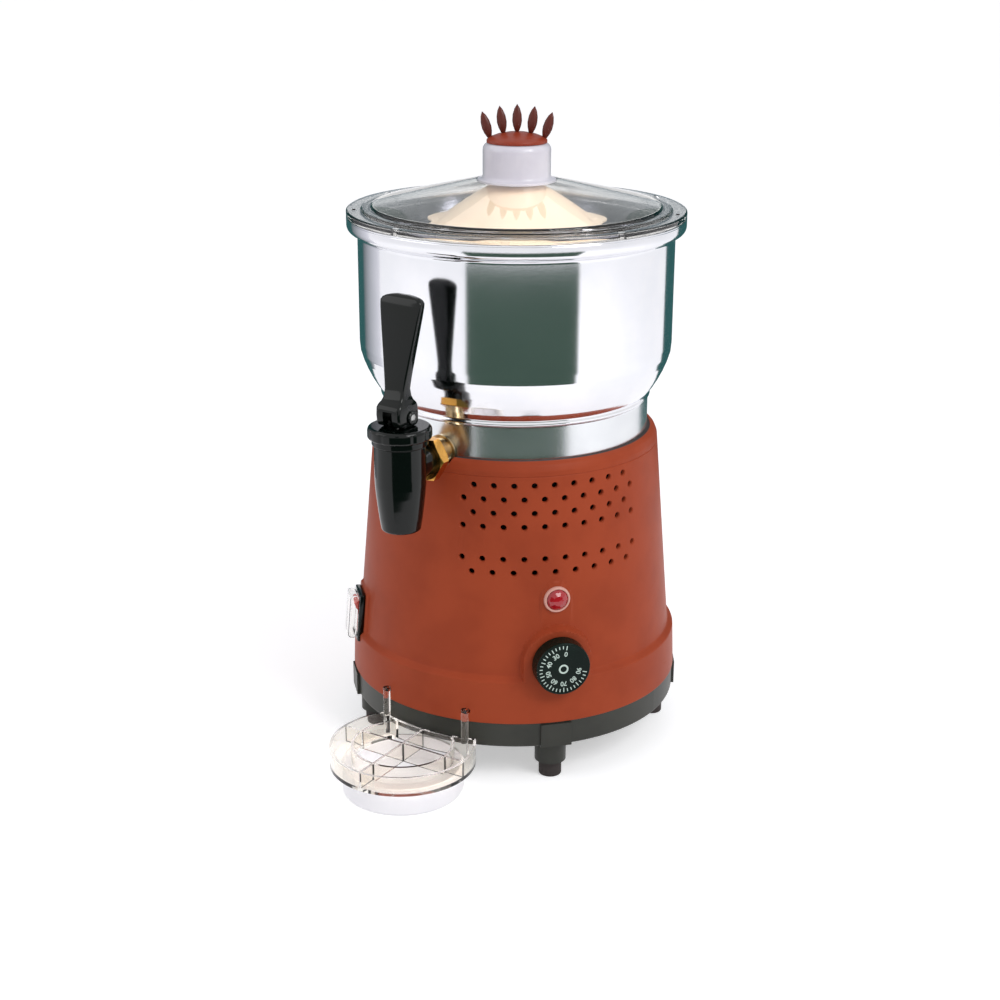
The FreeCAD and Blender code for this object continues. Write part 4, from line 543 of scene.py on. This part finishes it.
piece("steel_bowl", lathe(bowl_outline, 256, closed=True), "polished_steel", stands_for=["product_bowl"])

# %% [markdown]
# ## Lid, neck and cap
# The lid is one clear moulding with two shallow steps and a low dome; its neck is frosted, and the
# brown cap closes it. Nine small slots in the flange let steam out.

# %% The clear lid
lid_outline = [
    (116.4, 411), (113.8, 411), (113.8, 421.2, 0.6), (30.0, 441.4), (30.0, 445.0, 0.8), (111.0, 426.0, 1.0),
    (111.0, 424.5, 0.5), (118.5, 424.5, 0.7), (118.5, 423.0, 0.5), (130.0, 423.0, 1.2), (130.0, 418.2, 0.8),
    (116.4, 418.2, 0.4)]
SLOTS, FIRST_SLOT = 9, -92
slots = [cube(turned(FIRST_SLOT + 360 / SLOTS * i) @ shift(0, -124, 420), 6, 2.6, 12) for i in range(SLOTS)]
lid_mesh = carved(lathe(lid_outline, 256, closed=True, segments=3), joined(slots))
lid_dome = piece("lid_dome", lid_mesh, "clear_plastic", "lid", ["lid"])
neck_outline = [
    (20.6, 441.2), (30.2, 441.2), (30.2, 445.2, 0.9), (26.0, 446.2, 1.8), (26.0, 472.0, 4.8),
    (20.6, 472.0, 0.5)]
piece("lid_neck", lathe(neck_outline, 96, closed=True), "frosted_plastic", "lid")

# %% Cap and leaves
cap_outline = [(0, 480.0), (8, 479.5), (15, 478.1), (20, 476.2), (23.0, 474.5, 0.8), (23.0, 472.1, 0.4),
               (20.1, 472.1), (20.1, 460.0, 0.5), (17.7, 460.0), (17.7, 473), (0, 473)]
piece("cap_dome", lathe(cap_outline, 96), "cap_brown", "cap", ["lid_cap"])


def leaf(x, tilt, foot):
    """A plump leaf, pointed at both ends."""
    mesh = lathe([(0, 0), (1.9, 3.0), (3.1, 6.4), (3.7, 10.0), (3.4, 14.6), (2.1, 19.0), (0, 22.4)], 24)
    bmesh.ops.scale(mesh, vec=(1, 0.62, 1), verts=mesh.verts)
    return moved(mesh, shift(x, 0, foot) @ turned(tilt, "Y"))


LEAF_STEP, LEAF_TILT, CROWN_DROP, CAP_TURN = 10, 8.5, 1.2, 28
leaves = joined([leaf(LEAF_STEP * i, LEAF_TILT * i, 478.1 - CROWN_DROP * i * i) for i in range(-2, 3)])
moved(leaves, turned(CAP_TURN))
piece("cap_leaves", leaves, "ornament_brown", "cap", ["cap_ornament"], crease=60)

# %% [markdown]
# ## The stirrer's cone
# Under the lid turns a cream cone with six rounded lobes. It is spun as a round cone with a
# slightly hollow side, then its foot is drawn in between the lobes.

# %% Cone with lobes
cone_outline = [
    (0, 440.0), (16, 440.0, 2.5), (26, 435.0), (36, 428.6), (46, 421.6), (56, 414.8), (66, 409.6),
    (72, 408.6), (75, 408.8, 0.8), (74.6, 407.2), (66, 407.4), (56, 412.4), (36, 426), (20, 436),
    (0, 437.5)]
LOBES, LOBE_TURN, LOBE_DEPTH, PLAIN_R = 6, math.radians(30), 0.13, 50
cone = lathe(cone_outline, 144)
for vert in cone.verts:
    radius, turn = math.hypot(vert.co.x, vert.co.y), math.atan2(vert.co.x, -vert.co.y)
    if radius > PLAIN_R:
        waves = 0.5 - 0.5 * math.cos(LOBES * (turn - LOBE_TURN))
        factor = 1 - LOBE_DEPTH * waves ** 2 * min(1, (radius - PLAIN_R) / 20)
        vert.co.x, vert.co.y = vert.co.x * factor, vert.co.y * factor
piece("cream_cone", cone, "cream_plastic", "stirrer", ["stirrer_cone"])

# %% [markdown]
# ## The tap
# Body, collar nut and lever are glossy black mouldings. The body is spun with its inlet boss, the
# collar nut gets shallow grips, and the lever is drawn up through a row of rounded sections, as
# its mould was, then slotted for the stem's eye.

# %% Tap body and collar nut
TAP_Y, PIN_Z = -158.0, 296.5
at_tap, at_pin = shift(0, TAP_Y, 0), shift(0, TAP_Y, PIN_Z)
body_outline = [
    (0, 236), (11.0, 236), (11.0, 210.6, 0.5), (14.3, 210.0, 2.0), (15.8, 219.5), (17.0, 229.0),
    (18.0, 238.0), (18.6, 245.0), (18.8, 252.0), (18.8, 275.5, 0.8), (17.0, 275.5), (17.0, 284.5),
    (0, 284.5)]
boss = lathe([(0, 0), (13.4, 0), (12.7, 14.0), (12.5, 28.4, 0.8), (0, 28.5)], 64)
moved(boss, shift(0, TAP_Y, INLET_Z) @ turned(-90, "X"))
body = joined([moved(lathe(body_outline, 96), at_tap), boss])
piece("tap_shell", body, "black_gloss", stands_for=["tap_body"])
nut_outline = [
    (17.2, 275.7), (20.4, 275.7, 0.6), (20.4, 280.5), (22.6, 280.5, 0.6), (23.4, 281.7, 0.5),
    (23.4, 287.9, 1.4), (21.6, 289.5, 1.0), (3.3, 289.5), (3.3, 285.5), (17.2, 285.5)]
nut = lathe(nut_outline, 160, closed=True)
for vert in nut.verts:
    radius, turn = math.hypot(vert.co.x, vert.co.y), math.atan2(vert.co.x, -vert.co.y)
    if radius > 22.4 and vert.co.z < 288:
        dent = 0.5 * max(0, math.cos(12 * turn)) ** 3
        vert.co.x, vert.co.y = vert.co.x * (1 - dent / radius), vert.co.y * (1 - dent / radius)
piece("tap_collar_nut", moved(nut, at_tap), "black_gloss", stands_for=["bonnet"])

# %% The lever
def section(mesh, z, width, front, back, corner):
    """A flat rectangle with round corners, at height z; returns its edges."""
    sheet = bmesh.ops.create_grid(mesh, x_segments=1, y_segments=1, size=0.5)["verts"]
    bmesh.ops.scale(mesh, vec=(width, front + back, 1), verts=sheet)
    bmesh.ops.translate(mesh, vec=(0, (back - front) / 2, z), verts=sheet)
    bevelled(mesh, sheet, corner, 4)
    return [edge for edge in mesh.edges if sum(abs(vert.co.z - z) for vert in edge.verts) < 1e-4]


def drawn(sections):
    """A solid drawn through rounded sections, from the lowest to the highest."""
    mesh = bmesh.new()
    rings = [section(mesh, *values) for values in sections]
    for low, high in zip(rings, rings[1:]):
        bmesh.ops.bridge_loops(mesh, edges=low + high)
    inner = [face for face in mesh.faces if len(face.verts) > 4 and
             sections[0][0] + 0.001 < face.calc_center_median().z < sections[-1][0] - 0.001]
    bmesh.ops.delete(mesh, geom=inner, context="FACES_ONLY")
    return close_up(mesh)


lever = drawn([
    (-6.8, 18.6, 5.6, 5.4, 1.6), (-6.2, 20.2, 9.2, 7.8, 2.0), (-4.6, 21.0, 13.0, 9.4, 2.4),
    (-1.6, 21.0, 14.6, 9.8, 2.4), (3.0, 21.0, 15.2, 9.8, 2.4), (8.4, 21.0, 14.8, 9.0, 2.4),
    (10.6, 20.2, 13.2, 7.8, 2.6), (12.4, 18.2, 10.8, 6.2, 2.4), (15.5, 16.8, 8.2, 4.6, 2.0),
    (21.0, 16.8, 6.8, 3.0, 1.8), (30.0, 19.6, 5.3, 3.4, 1.8), (45.0, 24.2, 3.1, 5.1, 1.8),
    (60.0, 28.9, 1.0, 6.8, 1.8), (72.0, 32.6, -0.7, 8.2, 1.9), (79.0, 34.8, -1.8, 9.0, 2.2),
    (82.2, 35.3, -2.3, 9.3, 2.4), (84.2, 32.4, -2.8, 9.3, 2.4), (85.5, 27.4, -3.3, 9.0, 2.2),
    (86.5, 20.0, -4.0, 8.6, 1.8), (87.2, 11.0, -4.8, 7.8, 1.2)])
SLIT = (8, 28, 20)
lever = carved(lever, cube(shift(0, -8, -4), *SLIT))
pivot = lathe([(0, -12.1), (4.6, -12.1), (5.2, -11.5, 0.3), (5.2, 11.5, 0.3), (4.6, 12.1), (0, 12.1)], 40)
pivot = carved(moved(pivot, turned(90, "Y")), cube(Matrix(), *SLIT))
lever = joined([lever, pivot])
piece("lever_blade", moved(lever, at_pin), "black_gloss", "lever", ["tap_lever"])
rivet = lathe([(0, -12.9), (1.6, -12.7, 0.5), (2.8, -12.1), (1.6, -12.0), (1.6, 12.0), (2.8, 12.1),
               (1.6, 12.7, 0.5), (0, 12.9)], 32)
moved(rivet, at_pin @ turned(90, "Y"))
piece("lever_rivet", rivet, "plain_steel", "tap_stem", ["lever_pin"])

# %% Nut and pipe
hexagon = bmesh.new()
bmesh.ops.create_cone(hexagon, cap_ends=True, segments=6, radius1=17.9, radius2=17.9, depth=9.0)
moved(hexagon, turned(30))
chamfer = lathe([(0, -4.5), (15.9, -4.5), (18.0, -3.3), (18.0, 3.3), (15.9, 4.5), (0, 4.5)], 96)
hexagon = carved(hexagon, chamfer, "INTERSECT")
piece("brass_nut", moved(hexagon, facing(0, 125, INLET_Z)), "brass", stands_for=["hex_nut"], crease=20)
THREAD_PITCH = 1.8
thread = [(7.2, -26.0), (10.0, -26.0)]
for i in range(22):
    rise = THREAD_PITCH * i
    thread += [(10.4, -25.4 + rise), (10.4, -25.0 + rise), (9.5, -24.5 + rise), (9.5, -24.1 + rise)]
thread += [(9.8, 16.0), (7.2, 16.0)]
pipe = moved(lathe(thread, 64, closed=True), facing(0, 120, INLET_Z))
piece("threaded_pipe", pipe, "plated_brass", stands_for=["nipple"])

# %% [markdown]
# ## Dial, lamp and switch
# The dial is a dark green knob with white lines and figures all round its face, except for a gap
# at the stop. The figures are plain numbers, made from text and laid on the face.

# %% The dial
at_dial = facing(DIAL_AZIMUTH, DIAL_PAD_FACE + 0.4, DIAL_Z)
knob_outline = [
    (0, 11.9), (18.0, 12.0), (20.4, 12.5, 0.5), (21.0, 11.6, 0.5), (21.4, 0.4, 0.3), (20.6, 0.0),
    (19.4, 0.0), (19.4, 10.4), (5.5, 10.4), (5.5, 1.0), (3.0, 1.0), (3.0, 9.5), (0, 9.5)]
piece("dial_cap", moved(lathe(knob_outline, 128), at_dial), "dial_green", "dial", ["dial_knob"])

# %% Figures on the dial
SCALE_START, SCALE_TURN = -8, 265
FIGURES = ("0", "30", "40", "50", "60", "70", "80", "90")
TICKS, TICK_END, FIGURE_R, FACE_Z = 29, 19.0, 11.9, 12.02


def printed(figure):
    """A figure as a thin mesh."""
    text = bpy.data.curves.new("figure", "FONT")
    text.body, text.size, text.extrude = figure, 5.2, 0.15
    text.align_x, text.align_y, text.offset = "CENTER", "CENTER", 0.06
    label = link(bpy.data.objects.new("figure", text))
    graph = bpy.context.evaluated_depsgraph_get()
    data = bpy.data.meshes.new_from_object(label.evaluated_get(graph))
    bpy.data.objects.remove(label)
    mesh = bmesh.new()
    mesh.from_mesh(data)
    return mesh


marks = []
for i in range(TICKS):
    length = 2.6 if i % 4 else 3.6
    turn = turned(SCALE_START + SCALE_TURN * i / (TICKS - 1))
    marks.append(cube(turn @ shift(0, TICK_END - length / 2, FACE_Z), 0.7, length, 0.3))
for i, figure in enumerate(FIGURES):
    turn = turned(SCALE_START + SCALE_TURN * i / (len(FIGURES) - 1))
    marks.append(moved(printed(figure), turn @ shift(0, FIGURE_R, FACE_Z + 0.02)))
marks.append(lathe([(2.4, 12.1), (2.6, 12.6), (3.6, 12.6), (3.8, 12.1)], 40))
piece("dial_figures", moved(joined(marks), at_dial), "white_print", "dial")

# %% The lamp
at_lamp = facing(DIAL_AZIMUTH, LAMP_PAD_FACE, LAMP_Z)
bezel_outline = [(8.3, 0), (10.3, 0), (10.3, 1.6, 0.9), (9.4, 2.4, 0.6), (8.3, 2.2, 0.4)]
bezel = moved(lathe(bezel_outline, 96, closed=True), at_lamp)
piece("lamp_ring", bezel, "lamp_rim", stands_for=["lamp_bezel"])
lens = lathe([(0, -4.0), (8.3, -4.0), (8.3, 2.0), (6.6, 3.6), (4.0, 5.0), (0, 5.6)], 10)
piece("lamp_glass", moved(lens, at_lamp), "lamp_red", stands_for=["lamp_lens"], crease=5)

# %% The switch
def slab(width, tall, depth, round_by, segments=3):
    """A block with all its edges rounded, standing on z = 0."""
    mesh = cube(shift(0, 0, depth / 2), width, tall, depth)
    bevelled(mesh, mesh.edges[:], round_by, segments, "EDGES", clamp=True)
    return mesh


through = shift(0, 0, -1)
rim = carved(slab(26, 40, 4.6, 1.2), moved(slab(16.4, 33, 8, 0.6), through))
piece("switch_rim", moved(rim, at_switch), "black_gloss", stands_for=["switch_frame"])
boot = carved(slab(22, 36, 7.0, 2.6, 5), moved(slab(20.2, 34.2, 7.0, 2.0, 5), through))
moved(boot, at_switch @ shift(0, 0, 4.65))
splash_cover = piece("splash_cover", boot, "clear_plastic", stands_for=["switch_boot"])

# %% [markdown]
# ## Drip tray
# A white cup catches the drips. The clear grille over it keeps its solid form: a ring, a cross of
# ribs and two prongs that hook into the housing.

# %% The cup
cup_outline = [(0, 0), (46.5, 0, 2.4), (46.5, 21.7, 0.6), (44.5, 21.7, 0.6), (44.5, 2.2, 1.6), (0, 2.2)]
TRAY_Y = -161
cup = moved(lathe(cup_outline, 128), shift(0, TRAY_Y, 0))
piece("white_cup", cup, "white_plastic", "cup", ["drip_cup"])

# %% [markdown]
# ## The studio
# The machine stands on a white table in a white room. Camera, mirror and glass rays see plain
# white, which is the colour of the room itself; the light on the object comes from the world
# and from two large lamps, so the background never makes the object brighter.

# %% World
SEEN, FELT = (1, 1, 1, 1), (0.62, 0.62, 0.64, 1)


def either(tree, *sockets):
    """1 where any of the signals is 1."""
    result = sockets[0]
    for socket in sockets[1:]:
        node = tree.nodes.new("ShaderNodeMath")
        node.operation = "MAXIMUM"
        tree.links.new(result, node.inputs[0])
        tree.links.new(socket, node.inputs[1])
        result = node.outputs[0]
    return result


def plain_rays(tree):
    """The rays that see plain white: from the camera, through glass and off a mirror."""
    rays = tree.nodes.new("ShaderNodeLightPath").outputs
    return either(tree, *(rays["Is %s Ray" % kind] for kind in ("Camera", "Transmission", "Glossy")))


world = bpy.data.worlds.new("studio")
world.use_nodes = True
bpy.context.scene.world = world
back = world.node_tree.nodes["Background"]
back.inputs["Strength"].default_value = 1.0
tint = world.node_tree.nodes.new("ShaderNodeMix")
tint.data_type = "RGBA"
world.node_tree.links.new(plain_rays(world.node_tree), tint.inputs[0])
tint.inputs[6].default_value, tint.inputs[7].default_value = FELT, SEEN
world.node_tree.links.new(tint.outputs[2], back.inputs["Color"])
print("white room")

# %% Table
table_mesh = bmesh.new()
bmesh.ops.create_grid(table_mesh, x_segments=1, y_segments=1, size=20)
table = link(bpy.data.objects.new("table", bpy.data.meshes.new("table")))
table_mesh.to_mesh(table.data)
table_mesh.free()

white = Finish("white_table", (0.86, 0.86, 0.87, 1), Roughness=0.9)
shown = Signal(white, plain_rays(white.tree))
matt = Signal(white, white.shader.outputs[0])
glow = white.add("ShaderNodeEmission", None, {"Color": SEEN, "Strength": 0.45})
lit = white.add("ShaderNodeAddShader", None, {0: matt, 1: glow})
blend = white.add("ShaderNodeMixShader", None, {0: shown, 1: matt, 2: lit})
white.plug(white.tree.nodes["Material Output"].inputs["Surface"], blend)
table.data.materials.append(white.material)
print("table", len(table.data.polygons), "face")

# %% Lamps
def lamp(name, azimuth, distance, height, size, power):
    """A square soft lamp round the machine, aimed at its middle."""
    light = bpy.data.lights.new(name, "AREA")
    light.size, light.energy = size, power
    obj = link(bpy.data.objects.new(name, light))
    turn = math.radians(azimuth)
    obj.location = (distance * math.sin(turn), -distance * math.cos(turn), height)
    obj.rotation_mode = "QUATERNION"
    obj.rotation_quaternion = (obj.location - MIDDLE).to_track_quat("Z", "Y")
    print(name, "lamp,", power, "W")


MIDDLE = Vector((0, 0, 0.25))
lamp("key", 75, 1.6, 1.5, 0.9, 16)
lamp("fill", -40, 1.8, 1.1, 1.2, 5)

# %% [markdown]
# ## What the steel reflects
# Polished steel shows the room more than itself. In front of the machine stood something dark and
# green, and two dark edges closed the room behind it: they give the bowl its dark window and its
# dark outlines. Here they are curved cards round the machine that only mirror rays can see.

# %% Dark cards
def card(name, colour, turns, outline, fade=None):
    """An outline of (distance, height) points, spun round the machine between two azimuths.

    With fade, the stops of a ramp, the colour changes from the first azimuth to the second."""
    mesh = bmesh.new()
    turn = Matrix.Rotation(math.radians(turns[0]), 3, "Z")
    corners = [mesh.verts.new(turn @ Vector((0, -distance, height))) for distance, height in outline]
    edges = [mesh.edges.new(pair) for pair in zip(corners, corners[1:])]
    bmesh.ops.spin(mesh, geom=corners + edges, cent=(0, 0, 0), axis=(0, 0, 1), dvec=(0, 0, 0),
                   angle=math.radians(turns[1] - turns[0]), steps=24, use_merge=False, use_duplicate=False)
    obj = link(bpy.data.objects.new(name, bpy.data.meshes.new(name)))
    mesh.to_mesh(obj.data)
    mesh.free()
    dull = Finish(name, (0, 0, 0, 1), Roughness=1.0, Emission_Color=colour, Emission_Strength=1.0)
    dull.set("Specular IOR Level", 0.0)
    if fade:
        here = dull.add("ShaderNodeTexCoord", output="Object")
        across, along = (dull.add("ShaderNodeSeparateXYZ", None, {0: here}, output=i) for i in (0, 1))
        azimuth = across.maths("ARCTAN2", across, along * -1)
        low, high = math.radians(turns[0]), math.radians(turns[1])
        share = dull.add("ShaderNodeMapRange", None, {0: azimuth, 1: low, 2: high})
        dull.set("Emission Color", dull.add("ShaderNodeValToRGB", {"stops": fade}, {0: share}))
    obj.data.materials.append(dull.material)
    obj.visible_camera = obj.visible_diffuse = obj.visible_transmission = obj.visible_shadow = False


view = math.degrees(AZIMUTH)
floor_and_wall = [(0.52, 0.002), (0.85, 0.002), (0.85, 0.262)]
card("front_card", paint(72, 92, 82), (view - 33, view + 42), floor_and_wall)
teal, edge_card = paint(52, 96, 96), [(0.7, 0.002), (1.2, 0.002), (1.2, 1.4)]
fade = [(0.0, teal), (0.46, teal), (0.52, paint(118, 126, 130)), (1.0, paint(236, 236, 244))]
card("left_card", teal, (view - 165, view - 110), edge_card, fade)
card("right_card", teal, (view + 131, view + 165), edge_card)
card("back_card", paint(150, 164, 172), (view + 110, view + 250), [(1.3, 0.5), (1.3, 1.3)])
for clear_piece in (lid_dome, splash_cover, nodes["drip_grille"]):
    clear_piece.visible_shadow = False
print("cards and clear pieces ready")

# %% Colour management, and the end
bpy.context.scene.view_settings.view_transform = "Standard"
